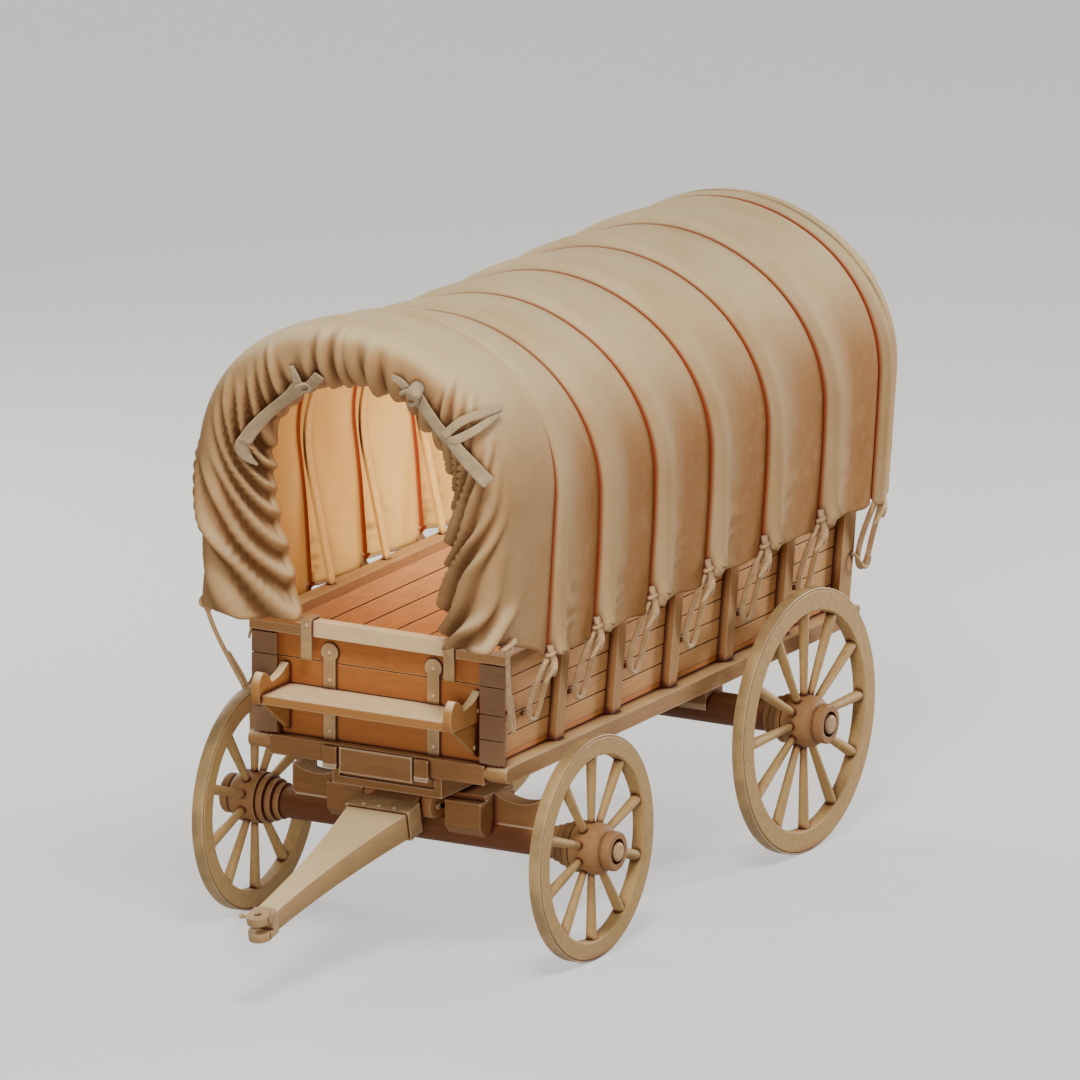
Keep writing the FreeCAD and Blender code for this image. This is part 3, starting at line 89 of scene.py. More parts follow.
def unit(vectors: np.ndarray) -> np.ndarray:
    """Return directions, held along the last axis, at a length of one."""
    return vectors / (np.linalg.norm(vectors, axis=-1, keepdims=True) + NO_LENGTH)


def run_length(points: np.ndarray) -> np.ndarray:
    """Return how far along a line each of its points lies."""
    return np.r_[0, np.cumsum(np.linalg.norm(np.diff(points, axis=0), axis=1))]


def smooth_run(stations: list | tuple, steps: int) -> list[np.ndarray]:
    """Return the points of a smooth line through a table of stations.

    Args:
        stations: the numbers of each station.
        steps: points from one station to the next.

    Returns:
        The points, from the first station to the last.
    """
    table = np.array(stations, float)
    padded = np.vstack([2 * table[0] - table[1], table, 2 * table[-1] - table[-2]])
    run = []
    for before, first, second, after in zip(padded, padded[1:], padded[2:], padded[3:]):
        for s in np.linspace(0, 1, steps, endpoint=False):
            run.append(0.5 * (2 * first + (second - before) * s
                              + (2 * before - 5 * first + 4 * second - after) * s ** 2
                              + (3 * first - before - 3 * second + after) * s ** 3))
    run.append(table[-1])
    return run


def add_object(name: str, data: bpy.types.ID) -> bpy.types.Object:
    """Add an object to the scene.

    Args:
        name: the object's name.
        data: its mesh, curve, lamp or camera.

    Returns:
        The object.
    """
    holder = bpy.data.objects.new(name, data)
    bpy.context.scene.collection.objects.link(holder)
    return holder


def deselect() -> None:
    """Leave nothing selected, in object mode."""
    if bpy.context.object is not None and bpy.context.object.mode != "OBJECT":
        bpy.ops.object.mode_set(mode="OBJECT")
    bpy.ops.object.select_all(action="DESELECT")


def activate(piece: bpy.types.Object) -> None:
    """Select one object alone and make it active.

    Args:
        piece: the object.
    """
    deselect()
    piece.select_set(True)
    bpy.context.view_layer.objects.active = piece


def apply_modifier(piece: bpy.types.Object, kind: str, **settings: object) -> None:
    """Add one modifier with its settings and apply it.

    Args:
        piece: the object that takes it.
        kind: the modifier's type.
        settings: the modifier's properties.
    """
    activate(piece)
    modifier = piece.modifiers.new(kind.title(), kind)
    for name, setting in settings.items():
        setattr(modifier, name, setting)
    bpy.ops.object.modifier_apply(modifier=modifier.name)


def join(pieces: list[bpy.types.Object], name: str) -> bpy.types.Object:
    """Join several objects into one.

    Args:
        pieces: the objects, each with its place in its mesh.
        name: the name of the joined piece.

    Returns:
        The joined object.
    """
    deselect()
    for piece in pieces:
        piece.select_set(True)
    bpy.context.view_layer.objects.active = pieces[0]
    if len(pieces) > 1:
        bpy.ops.object.join()
    joined = bpy.context.view_layer.objects.active
    joined.name = name
    joined.data.name = name
    return joined


def copies(original: bpy.types.Object, places: list[Matrix], name: str) -> bpy.types.Object:
    """Copy a small piece to many places and join the copies.

    Args:
        original: the piece, modelled about the origin. It is removed afterwards.
        places: where each copy stands.
        name: the name of the joined piece.

    Returns:
        The joined object.
    """
    made = []
    for place in places:
        mesh = original.data.copy()
        mesh.transform(place)
        if place.determinant() < 0:
            mesh.flip_normals()
        made.append(add_object(name, mesh))
    bpy.data.objects.remove(original)
    return join(made, name)


def tube(name: str, points: list | tuple, radius: float, closed: bool = False,
         sides: int = 4) -> bpy.types.Object:
    """Make a rope or a round bar along a smooth line.

    Args:
        name: the object's name.
        points: the control points of its middle line.
        radius: half of its thickness.
        closed: whether the line is a ring.
        sides: roundness of the section.

    Returns:
        The tube as a mesh.
    """
    deselect()
    curve = bpy.data.curves.new(name, "CURVE")
    curve.dimensions = "3D"
    curve.resolution_u = 6
    curve.bevel_depth = radius
    curve.bevel_resolution = sides
    curve.use_fill_caps = True
    spline = curve.splines.new("NURBS")
    spline.points.add(len(points) - 1)
    for knot, point in zip(spline.points, points):
        knot.co = (*point, 1.0)
    spline.order_u = 4
    spline.use_endpoint_u = not closed
    spline.use_cyclic_u = closed
    activate(add_object(name, curve))
    bpy.ops.object.convert(target="MESH")
    return bpy.context.view_layer.objects.active


def grid_piece(name: str, points: np.ndarray) -> bpy.types.Object:
    """Make a grid and lay its points on a table of places.

    Args:
        name: the object's name.
        points: the places, by row and column.

    Returns:
        The grid.
    """
    rows, columns = points.shape[:2]
    deselect()
    bpy.ops.mesh.primitive_grid_add(x_subdivisions=columns - 1, y_subdivisions=rows - 1, size=1.0)
    piece = bpy.context.object
    piece.name = piece.data.name = name
    piece.data.vertices.foreach_set("co", points.astype(np.float32).ravel())
    return piece


def inset_faces(piece: bpy.types.Object, way: Point, steps: list | tuple) -> None:
    """Draw in the faces that look one way, and move what is drawn in.

    Args:
        piece: the object.
        way: the direction in which the faces look.
        steps: for each inset its width and the move after it.
    """
    bpy.ops.object.mode_set(mode="EDIT")
    bpy.ops.mesh.select_all(action="DESELECT")
    bpy.ops.object.mode_set(mode="OBJECT")
    for face in piece.data.polygons:
        face.select = face.normal.dot(Vector(way)) > 0.9
    bpy.ops.object.mode_set(mode="EDIT")
    for width, move in steps:
        bpy.ops.mesh.inset(thickness=width)
        bpy.ops.transform.translate(value=move)
    bpy.ops.object.mode_set(mode="OBJECT")


def ring_line(centre: Point, half: tuple, tilt: float, lag: float) -> list[Point]:
    """Return the points of a ring of rope that leans a little.

    Args:
        centre: of the ring.
        half: half of its size along x and y.
        tilt: how far it rises and falls on its way round.
        lag: where on its way round it rises, in radians.

    Returns:
        Eight points for a closed line.
    """
    x, y, z = centre
    turns = [math.radians(step * 45) for step in range(8)]
    return [(x + half[0] * math.cos(a), y + half[1] * math.sin(a), z + tilt * math.sin(a + lag))
            for a in turns]


def on_side(line: list | tuple, side: int) -> list[Point]:
    """Return a line of the right side, or with side -1 its mirror image on the left."""
    return [(side * x, y, z) for x, y, z in line]


def paint(piece: bpy.types.Object, name: str, values: np.ndarray) -> None:
    """Store one number for each point of a mesh, for its material to read."""
    layer = piece.data.attributes.new(name, "FLOAT", "POINT")
    layer.data.foreach_set("value", np.ascontiguousarray(values, dtype=np.float32))


def recalculate(piece: bpy.types.Object) -> None:
    """Merge doubled points and turn all faces outward.

    Args:
        piece: the object.
    """
    activate(piece)
    bpy.ops.object.mode_set(mode="EDIT")
    bpy.ops.mesh.select_all(action="SELECT")
    bpy.ops.mesh.remove_doubles(threshold=SAME_POINT)
    bpy.ops.mesh.normals_make_consistent(inside=False)
    bpy.ops.object.mode_set(mode="OBJECT")


def soften(piece: bpy.types.Object, degrees: float = 40.0) -> None:
    """Shade a piece smooth, with its sharper edges kept."""
    activate(piece)
    bpy.ops.object.shade_smooth_by_angle(angle=math.radians(degrees))


# ---------------------------------------------------------------------------
# Finishes
# ---------------------------------------------------------------------------
class Grain(Enum):
    """Which way the fibres of a piece run."""

    ACROSS = (3.0, 26.0, 26.0)
    ALONG = (26.0, 3.0, 26.0)
    UPRIGHT = (26.0, 26.0, 3.0)
    EVEN = (14.0, 14.0, 14.0)


class Nodes:
    """A material's node tree, written from the surface back to the patterns."""

    def __init__(self, name: str) -> None:
        """Start an empty material with one principled surface.

        Args:
            name: the material's name.
        """
        self.material = bpy.data.materials.new(name)
        self.material.use_nodes = True
        self.tree = self.material.node_tree
        self.surface = self.tree.nodes["Principled BSDF"]

    def add(self, kind: str, **settings: object) -> bpy.types.Node:
        """Add a node and set its properties.

        Args:
            kind: the node's type.
            settings: its properties.

        Returns:
            The node.
        """
        node = self.tree.nodes.new(kind)
        for name, setting in settings.items():
            setattr(node, name, setting)
        return node

    def wire(self, source: bpy.types.NodeSocket, target: bpy.types.NodeSocket) -> None:
        """Join two sockets."""
        self.tree.links.new(source, target)

    def coordinates(self, scale: Point) -> bpy.types.NodeSocket:
        """Return object coordinates stretched by a scale.

        Args:
            scale: stretch along x, y and z.

        Returns:
            The socket of the coordinates.
        """
        mapping = self.add("ShaderNodeMapping")
        mapping.inputs["Scale"].default_value = scale
        self.wire(self.add("ShaderNodeTexCoord").outputs["Object"], mapping.inputs["Vector"])
        return mapping.outputs["Vector"]

    def noise(self, place: bpy.types.NodeSocket, scale: float, detail: float = 4.0,
              rough: float = 0.55, twist: float = 0.0) -> bpy.types.NodeSocket:
        """Return a noise pattern on a set of coordinates.

        Args:
            place: socket of the coordinates.
            scale: how fine the pattern is.
            detail: how many finer layers it has.
            rough: how strong the finer layers are.
            twist: how far it is pulled about.

        Returns:
            The pattern's socket.
        """
        node = self.add("ShaderNodeTexNoise")
        node.inputs["Scale"].default_value = scale
        node.inputs["Detail"].default_value = detail
        node.inputs["Roughness"].default_value = rough
        node.inputs["Distortion"].default_value = twist
        self.wire(place, node.inputs["Vector"])
        return node.outputs["Fac"]

    def span(self, source: bpy.types.NodeSocket, low: float, high: float, start: float = 0.0,
             end: float = 1.0) -> bpy.types.NodeSocket:
        """Return a value moved from one span to another, with its ends held.

        Args:
            source: socket of the value.
            low: where the first span starts.
            high: where the first span ends.
            start: the result at low and below.
            end: the result at high and above.

        Returns:
            The moved value's socket.
        """
        node = self.add("ShaderNodeMapRange", interpolation_type="SMOOTHSTEP")
        for label, number in (("From Min", low), ("From Max", high), ("To Min", start), ("To Max", end)):
            node.inputs[label].default_value = number
        self.wire(source, node.inputs["Value"])
        return node.outputs["Result"]

    def blend(self, share: bpy.types.NodeSocket, first: object, second: object,
              way: str = "MIX") -> bpy.types.NodeSocket:
        """Return one colour laid over another.

        Args:
            share: socket of how much of the second colour shows.
            first: a colour or a colour socket.
            second: a colour or a colour socket.
            way: the kind of mix.

        Returns:
            The mixed colour's socket.
        """
        node = self.add("ShaderNodeMix", data_type="RGBA", blend_type=way)
        self.wire(share, node.inputs[0])
        for slot, colour in ((6, first), (7, second)):
            if isinstance(colour, tuple):
                node.inputs[slot].default_value = (*colour, 1.0)
            else:
                self.wire(colour, node.inputs[slot])
        return node.outputs[2]

    def lay(self, colour: object, over: object, pattern: bpy.types.NodeSocket, span: tuple,
            way: str = "MIX") -> bpy.types.NodeSocket:
        """Return a colour with another laid over it where a pattern says so.

        Args:
            colour: the colour underneath, or its socket.
            over: the colour on top, or its socket.
            pattern: the socket that the share is read from.
            span: the low and high ends of the pattern, and the share of the top colour at each.
            way: the kind of mix.

        Returns:
            The mixed colour's socket.
        """
        return self.blend(self.span(pattern, *span), colour, over, way)

    def upward(self) -> bpy.types.NodeSocket:
        """Return how far a face of the piece looks up.

        Returns:
            The socket: 1 on a top, 0 on a wall and -1 underneath.
        """
        parts = self.add("ShaderNodeSeparateXYZ")
        self.wire(self.add("ShaderNodeTexCoord").outputs["Normal"], parts.inputs[0])
        return parts.outputs["Z"]

    def attribute(self, name: str) -> bpy.types.NodeSocket:
        """Return a number painted on the points of a piece."""
        return self.add("ShaderNodeAttribute", attribute_name=name).outputs["Fac"]

    def hollow(self, distance: float, inside: bool = False) -> bpy.types.NodeSocket:
        """Return how open a place is, within a distance, outside or inside the surface.

        Args:
            distance: how far to look around.
            inside: whether to look into the piece instead of out of it.

        Returns:
            The socket: 1 in the open and 0 deep in a corner.
        """
        node = self.add("ShaderNodeAmbientOcclusion", inside=inside, samples=8)
        node.inputs["Distance"].default_value = distance
        return node.outputs["AO"]

    def bump(self, height: bpy.types.NodeSocket, strength: float, distance: float) -> None:
        """Raise the surface by a pattern.

        Args:
            height: socket of the pattern.
            strength: share of the bump that shows.
            distance: height of the pattern in metres.
        """
        node = self.add("ShaderNodeBump")
        node.inputs["Strength"].default_value = strength
        node.inputs["Distance"].default_value = distance
        self.wire(height, node.inputs["Height"])
        self.wire(node.outputs["Normal"], self.surface.inputs["Normal"])


@dataclass(frozen=True)
class WoodFinish:
    """Worn timber with painted shade in its corners, where pieces meet and on faces that do not look up, and
    pale edges that are partly worn and partly a painted highlight.
    """

    name: str
    body: Colour
    # Painted shade: a broad warm colour and a tight dark colour laid by ambient occlusion, then the pale
    # edge colour.
    warm: Colour = linear(150, 80, 36)
    deep: Colour = linear(70, 20, 8)
    pale: Colour = linear(222, 196, 160)
    grain: Grain = Grain.ALONG
    # Painted shade on faces that do not look up: its colour and how strongly it is laid.
    shadow: Colour = linear(176, 138, 96)
    side_shade: float = 0.75
    reach: float = 0.09
    line: float = 0.042
    edge: float = 0.014
    worn_highlight: float = 0.65
    roughness: float = 0.62
    fibre_strength: float = 0.22
    fibre_height: float = 0.0014

    def make(self) -> bpy.types.Material:
        """Build the finish.

        Returns:
            The material.
        """
        tree = Nodes(self.name)
        place = tree.coordinates(self.grain.value)
        fibre = tree.noise(place, 2.2, 6.0, 0.62, 0.6)
        cloud = tree.noise(tree.coordinates((1.0, 1.0, 1.0)), 3.1, 3.0)
        darker = tuple(level * 0.80 for level in self.body)
        brighter = tuple(min(1.0, level * 1.10) for level in self.body)
        colour = tree.lay(darker, brighter, fibre, (0.3, 0.7))
        colour = tree.lay(colour, self.body, cloud, (0.30, 0.7, 0.25, 0.75))
        # Painted shade: faces that do not look up are darkened towards the shadow colour.
        colour = tree.lay(colour, self.shadow, tree.upward(), (0.30, 0.85, self.side_shade, 0.0), "MULTIPLY")
        # Pale edges: partly worn, partly a painted highlight on the convex edges.
        edge = tree.hollow(self.edge, inside=True)
        colour = tree.lay(colour, self.pale, edge, (0.35, 0.8, self.worn_highlight, 0.0))
        # Painted shade: ambient occlusion darkens the colour broadly in corners and in a tight dark line
        # where pieces meet.
        colour = tree.lay(colour, self.warm, tree.hollow(self.reach), (0.30, 0.90, 0.80, 0.0))
        colour = tree.lay(colour, self.deep, tree.hollow(self.line), (0.56, 0.90, 0.97, 0.0))
        tree.wire(colour, tree.surface.inputs["Base Color"])
        tree.wire(tree.span(fibre, 0.2, 0.8, self.roughness + 0.12, self.roughness - 0.08),
                  tree.surface.inputs["Roughness"])
        tree.surface.inputs["Specular IOR Level"].default_value = 0.3
        tree.bump(fibre, self.fibre_strength, self.fibre_height)
        return tree.material


@dataclass(frozen=True)
class IronFinish:
    """Forged iron under the same worn paint as the timber, with painted shade in its corners and pale edges
    that are partly worn and partly a painted highlight.
    """

    name: str
    body: Colour
    # Painted shade: a broad warm colour and a tight dark colour laid by ambient occlusion, then the pale
    # edge colour.
    warm: Colour = linear(146, 86, 46)
    deep: Colour = linear(72, 24, 10)
    pale: Colour = linear(216, 190, 152)
    reach: float = 0.035
    line: float = 0.028
    edge: float = 0.01
    metallic: float = 0.15
    roughness: float = 0.5
    pit_strength: float = 0.25
    pit_depth: float = 0.0012

    def make(self) -> bpy.types.Material:
        """Build the finish.

        Returns:
            The material.
        """
        tree = Nodes(self.name)
        place = tree.coordinates((1.0, 1.0, 1.0))
        pits = tree.noise(place, 90.0, 5.0, 0.7)
        cloud = tree.noise(place, 7.0, 4.0, 0.6)
        darker = tuple(level * 0.66 for level in self.body)
        colour = tree.lay(darker, self.body, cloud, (0.35, 0.68))
        # Pale edges: partly worn, partly a painted highlight on the convex edges.
        edge = tree.hollow(self.edge, inside=True)
        colour = tree.lay(colour, self.pale, edge, (0.35, 0.8, 0.6, 0.0))
        # Painted shade: ambient occlusion darkens the colour broadly in corners and in a tight dark line
        # where pieces meet.
        colour = tree.lay(colour, self.warm, tree.hollow(self.reach), (0.30, 0.90, 0.75, 0.0))
        colour = tree.lay(colour, self.deep, tree.hollow(self.line), (0.52, 0.97, 0.96, 0.0))
        tree.wire(colour, tree.surface.inputs["Base Color"])
        tree.surface.inputs["Metallic"].default_value = self.metallic
        tree.wire(tree.span(pits, 0.3, 0.7, self.roughness + 0.14, self.roughness - 0.06),
                  tree.surface.inputs["Roughness"])
        tree.bump(pits, self.pit_strength, self.pit_depth)
        return tree.material


@dataclass(frozen=True)
class ClothFinish:
    """Heavy cotton duck: woven and dusty, with painted shade in its folds, along its creases and on its
    sides, and its inner side painted warmer and brighter as if lit through the cloth.
    """

    name: str
    body: Colour
    # Painted shade colour of the sides of the top.
    flank: Colour
    # Colour of the inner side, painted warmer and brighter as if lit through the cloth.
    lit_lining: Colour
    dusty: Colour
    # Colours of painted shade: in folds, along creases and in the tightest corners.
    fold: Colour
    crease: Colour
    deep: Colour
    reach: float = 0.07
    roughness: float = 0.85
    threads: float = 420.0
    thread_strength: float = 0.25
    thread_height: float = 0.0008

    def weave(self, tree: Nodes) -> bpy.types.NodeSocket:
        """Return the pattern of crossed threads on the cloth's own layout.

        Args:
            tree: the material's nodes.

        Returns:
            The pattern's socket.
        """
        uv = tree.add("ShaderNodeUVMap", uv_map="cloth")
        cross = tree.add("ShaderNodeMath", operation="MULTIPLY")
        for slot, direction in enumerate(("X", "Y")):
            wave = tree.add("ShaderNodeTexWave", wave_type="BANDS", bands_direction=direction)
            wave.inputs["Scale"].default_value = self.threads
            wave.inputs["Distortion"].default_value = 0.4
            tree.wire(uv.outputs["UV"], wave.inputs["Vector"])
            tree.wire(wave.outputs["Fac"], cross.inputs[slot])
        return cross.outputs[0]

    def make(self) -> bpy.types.Material:
        """Build the finish.

        Returns:
            The material.
        """
        tree = Nodes(self.name)
        threads = self.weave(tree)
        place = tree.coordinates((1.0, 1.0, 1.0))
        cloud = tree.noise(place, 2.4, 5.0, 0.6)
        dust = tree.noise(place, 14.0, 5.0, 0.65)
        # Painted shade: the sides of the top take the darker flank colour, most towards the next crease.
        colour = tree.blend(tree.attribute("flank"), self.body, self.flank)
        # Painted light: the inner side takes a warmer, brighter colour, as if light shone through the cloth.
        colour = tree.blend(tree.attribute("lit_lining"), colour, self.lit_lining)
        colour = tree.lay(colour, self.dusty, cloud, (0.38, 0.72, 0.0, 0.40), "MULTIPLY")
        colour = tree.lay(colour, self.body, dust, (0.45, 0.80, 0.0, 0.16))
        colour = tree.lay(colour, self.crease, threads, (0.0, 1.0, 0.10, 0.0))
        # Painted shade: ambient occlusion and the painted fold share darken folds and hollows, deepest in
        # the tightest corners.
        shade = tree.hollow(self.reach)
        colour = tree.lay(colour, self.fold, shade, (0.40, 0.90, 0.62, 0.0))
        colour = tree.lay(colour, self.fold, tree.attribute("fold"), (0.05, 0.95, 0.0, 0.88))
        # Painted shade: a dark line along each crease and a softer shade ahead of it.
        colour = tree.lay(colour, self.crease, tree.attribute("wash"), (0.08, 0.60, 0.0, 0.94))
        colour = tree.lay(colour, self.deep, shade, (0.15, 0.55, 0.90, 0.0))
        tree.wire(colour, tree.surface.inputs["Base Color"])
        tree.surface.inputs["Roughness"].default_value = self.roughness
        tree.surface.inputs["Specular IOR Level"].default_value = 0.2
        tree.bump(threads, self.thread_strength, self.thread_height)
        return tree.material


@dataclass(frozen=True)
class StrapFinish:
    """Cotton webbing or rope, fuzzy, with painted shade where it touches something."""

    name: str
    body: Colour
    deep: Colour
    reach: float = 0.035
    roughness: float = 0.82
    fuzz: float = 0.2
    fibre_strength: float = 0.35
    fibre_height: float = 0.0012

    def make(self) -> bpy.types.Material:
        """Build the finish.

        Returns:
            The material.
        """
        tree = Nodes(self.name)
        place = tree.coordinates((1.0, 1.0, 1.0))
        cloud = tree.noise(place, 18.0, 4.0, 0.6)
        fibre = tree.noise(place, 260.0, 3.0, 0.6)
        darker = tuple(level * 0.74 for level in self.body)
        colour = tree.lay(darker, self.body, cloud, (0.32, 0.70))
        colour = tree.lay(colour, self.deep, fibre, (0.30, 0.75, 0.22, 0.0))
        # Painted shade: ambient occlusion darkens it where it touches something.
        colour = tree.lay(colour, self.deep, tree.hollow(self.reach), (0.30, 0.85, 0.92, 0.0))
        tree.wire(colour, tree.surface.inputs["Base Color"])
        tree.surface.inputs["Roughness"].default_value = self.roughness
        tree.surface.inputs["Sheen Weight"].default_value = self.fuzz
        tree.bump(fibre, self.fibre_strength, self.fibre_height)
        return tree.material


# ---------------------------------------------------------------------------
# Canvas top
# ---------------------------------------------------------------------------
@dataclass
class CanvasTop:
    """One sheet of cotton duck over seven bows, drawn in by a string at each end."""

    # Bows from front to rear: place along the wagon, ridge height of the canvas over it.
    bows: tuple = ((-0.9725, 3.150), (-0.5165, 3.075), (0.0205, 3.045), (0.5705, 3.035),
                   (1.1305, 3.025), (1.6905, 3.010), (2.2245, 3.020))
    # Height of the tie at the foot of each bow, from front to rear.
    rings: tuple = (1.575, 1.606, 1.630, 1.636, 1.625, 1.625, 1.620)
    # Gathered ends from the drawn edge outward: place, half width, ridge height, hem height.
    front: tuple = ((-1.395, 0.500, 2.880, 1.655), (-1.450, 0.512, 2.896, 1.655),
                    (-1.520, 0.555, 2.935, 1.660), (-1.575, 0.630, 3.005, 1.672),
                    (-1.600, 0.715, 3.085, 1.690), (-1.588, 0.792, 3.158, 1.706),
                    (-1.540, 0.845, 3.203, 1.716), (-1.455, 0.874, 3.222, 1.716),
                    (-1.340, 0.874, 3.215, 1.680), (-1.210, 0.864, 3.198, 1.640),
                    (-1.090, 0.855, 3.174, 1.595))
    rear: tuple = ((2.275, 0.850, 3.020, 1.585), (2.345, 0.842, 3.010, 1.590),
                   (2.415, 0.805, 2.968, 1.598), (2.462, 0.745, 2.898, 1.605),
                   (2.480, 0.675, 2.820, 1.612), (2.462, 0.612, 2.748, 1.618),
                   (2.415, 0.565, 2.688, 1.618), (2.350, 0.530, 2.640, 1.612))
    front_steps: int = 4
    rear_steps: int = 3
    # The arch over the bows: half width, radius of its sides and of its top, and how far its legs draw in.
    half_width: float = 0.850
    flank: float = 0.720
    crown: float = 0.950
    tuck: float = 0.050
    # The crease in front of each bow, the width of the painted shade ahead of it, and the rib of cloth
    # behind it.
    crease_ahead: float = 0.034
    crease_lean: float = 0.100
    crease_width: float = 0.0085
    crease_depth: float = 0.017
    crease_shade: float = 0.040
    rib_height: float = 0.040
    rib_rise: float = 0.045
    rib_full: float = 0.05
    rib_fall: float = 0.10
    # The cloth between two bows: how far it swells over the ridge and on the sides.
    hill_top: float = 0.036
    hill_side: float = 0.008
    side_heights: tuple = (2.25, 2.95)
    # Rows beside a crease, as offsets from it. Even rows follow: where they start behind it, where they stop
    # before the next crease, and how many there are.
    near: tuple = (-0.045, -0.018, -0.008, 0.0, 0.008, 0.020, 0.036, 0.058, 0.086)
    even_from: float = 0.125
    even_to: float = 0.080
    even_rows: int = 5
    # The hem: its height by number of the bay, how far it falls across a bay and waves, and its slit at
    # a tie.
    hem_heights: tuple = ((0, 1.545), (1, 1.552), (3, 1.572), (5, 1.574))
    hem_start: float = 0.016
    hem_fall: float = 0.034
    hem_wave: float = 0.006
    slit_below: float = 0.018
    slit_width: float = 0.011
    # A row counts as gathered below the second half width, and fully below the first. There its lower part
    # draws in and hangs back: how far, and the heights between which that fades.
    drawn_half: tuple = (0.50, 0.80)
    draw_in: float = 0.15
    draw_in_heights: tuple = (1.70, 2.35)
    hang_back: tuple = ((0.055, 2.2, 2.9), (0.065, 1.65, 2.25))
    # Folds that fan out from a tie: lean from upright, size and length of each.
    fans: tuple = ((0.10, 0.7, 1.0), (0.30, 1.0, 0.80), (0.62, 0.9, 0.55), (1.25, 0.6, 0.32))
    fan_start: float = 0.05
    fan_width: float = 0.016
    fan_widening: float = 0.050
    fan_height: float = 0.020
    wave_height: float = 0.008
    # Pleats of the two gathered ends: height, and length as a share of the front ones.
    front_pleats: tuple = (0.056, 1.0)
    rear_pleats: tuple = (0.045, 0.8)
    pleat_length: float = 0.46
    # Pleats of one side if all were as narrow as at the ridge, and how many fewer because they widen below.
    pleat_count: float = 17.5
    pleat_spread: float = 5.0
    frill: float = 0.004
    # The groove of the drawstring: distance from the edge, width and depth.
    string_place: float = 0.062
    string_width: float = 0.016
    string_depth: float = 0.012
    # The hollows between folds: rows and reach of the even cloth they are measured from, and full depth.
    level_rows: int = 420
    level_reach: tuple = (9, 7)
    hollow_depth: float = 0.010
    # Painted shade on the sides of the top: its share ahead of the first crease, behind each crease, and how
    # much more is added between two distances behind it.
    shade_ahead: float = 0.70
    shade_least: float = 0.45
    shade_more: float = 0.55
    shade_span: tuple = (0.03, 0.36)
    # The rolled hem: radius, points round it and how far it turns, in degrees.
    hem_radius: float = 0.010
    hem_steps: int = 3
    hem_turn: float = 225.0
    thickness: float = 0.005
    columns: int = 296
    line_samples: int = 2000
    seed: int = 11

    def __post_init__(self) -> None:
        """Lay out the rows, the bare surface and the finished surface."""
        self.creases = np.array([place - self.crease_ahead for place, _ in self.bows])
        self.table = self.rows()
        self.share = np.linspace(1, -1, self.columns)[None, :] * np.ones((len(self.table), 1))
        self.bare = self.surface()
        self.outward = self.normals(self.bare)
        lift, self.wash, pleat_shade = self.relief()
        self.points = self.bare + self.outward * lift[:, :, None]
        # Painted shade: the fold colour is laid in the hollows of the cloth and between the pleats.
        self.shade = np.maximum(0.75 * self.hollows(lift), pleat_shade)

    def rows(self) -> np.ndarray:
        """Lay out the lines of points across the sheet, from front to rear.

        Returns:
            For each row its place, half width, ridge height and hem height.
        """
        run = smooth_run(self.front, self.front_steps)
        for index, crease in enumerate(self.creases):
            stops = [crease + offset for offset in self.near]
            if index + 1 < len(self.creases):
                between = self.creases[index + 1] - self.even_to - crease - self.even_from
                stops += list(crease + self.even_from + between * np.linspace(0, 1, self.even_rows))
            for place in stops:
                ridge = np.interp(place, *zip(*self.bows))
                run.append(np.array([place, self.half_width, ridge, self.hem(place)]))
        run += smooth_run(self.rear, self.rear_steps)
        return np.array(run)

    def hem(self, place: float) -> float:
        """Return the height of the hem: drawn up at each tie, and lower towards the next bow.

        Args:
            place: place along the wagon.

        Returns:
            The height above the floor.
        """
        index = int(np.clip(np.searchsorted(self.creases, place) - 1, 0, len(self.bows) - 2))
        first, second = self.creases[index], self.creases[index + 1]
        share = (place - first) / (second - first)
        base = np.interp(index, *zip(*self.hem_heights))
        nearest = np.min(np.abs(self.creases - place))
        tie = np.interp(place, self.creases, self.rings) - self.slit_below
        wave = self.hem_wave * math.sin(share * 9.0 + index * 2.0)
        low = base + self.hem_start - self.hem_fall * share + wave
        return float(low + (tie - low) * math.exp(-(nearest / self.slit_width) ** 2))

    def arch(self, share: np.ndarray, half: np.ndarray, ridge: np.ndarray, hem: np.ndarray) -> tuple:
        """Return x and z on a round arch whose legs draw in to the hem.

        Args:
            share: from -1 at the left hem over 0 at the ridge to 1 at the right hem.
            half: half width of each row.
            ridge: ridge height of each row.
            hem: hem height of each row.

        Returns:
            The x and z coordinates.
        """
        scale = half / self.half_width
        flank, crown = self.flank * scale, self.crown * scale
        centre = half - flank
        rise = np.sqrt((crown - flank) ** 2 - centre ** 2)
        level = ridge - crown + rise
        foot_x, foot_z = half - self.tuck * scale - centre, hem - level
        reach = np.hypot(foot_x, foot_z)
        low = np.arctan2(foot_z, foot_x) + np.arccos(flank / reach)
        high = np.arctan2(rise, centre)
        leg, side, top = np.sqrt(reach ** 2 - flank ** 2), flank * (high - low), crown * (math.pi / 2 - high)
        run = (1 - np.abs(share)) * (leg + side + top)
        turn = low + np.clip((run - leg) / flank, 0, high - low)
        below = np.clip(leg - run, 0, None)
        last = high + np.clip((run - leg - side) / crown, 0, None)
        on_crown = run > leg + side
        x = np.where(on_crown, crown * np.cos(last), centre + flank * np.cos(turn) + below * np.sin(turn))
        z = np.where(on_crown, ridge - crown + crown * np.sin(last),
                     level + flank * np.sin(turn) - below * np.cos(turn))
        return np.sign(share + NO_LENGTH) * x, z

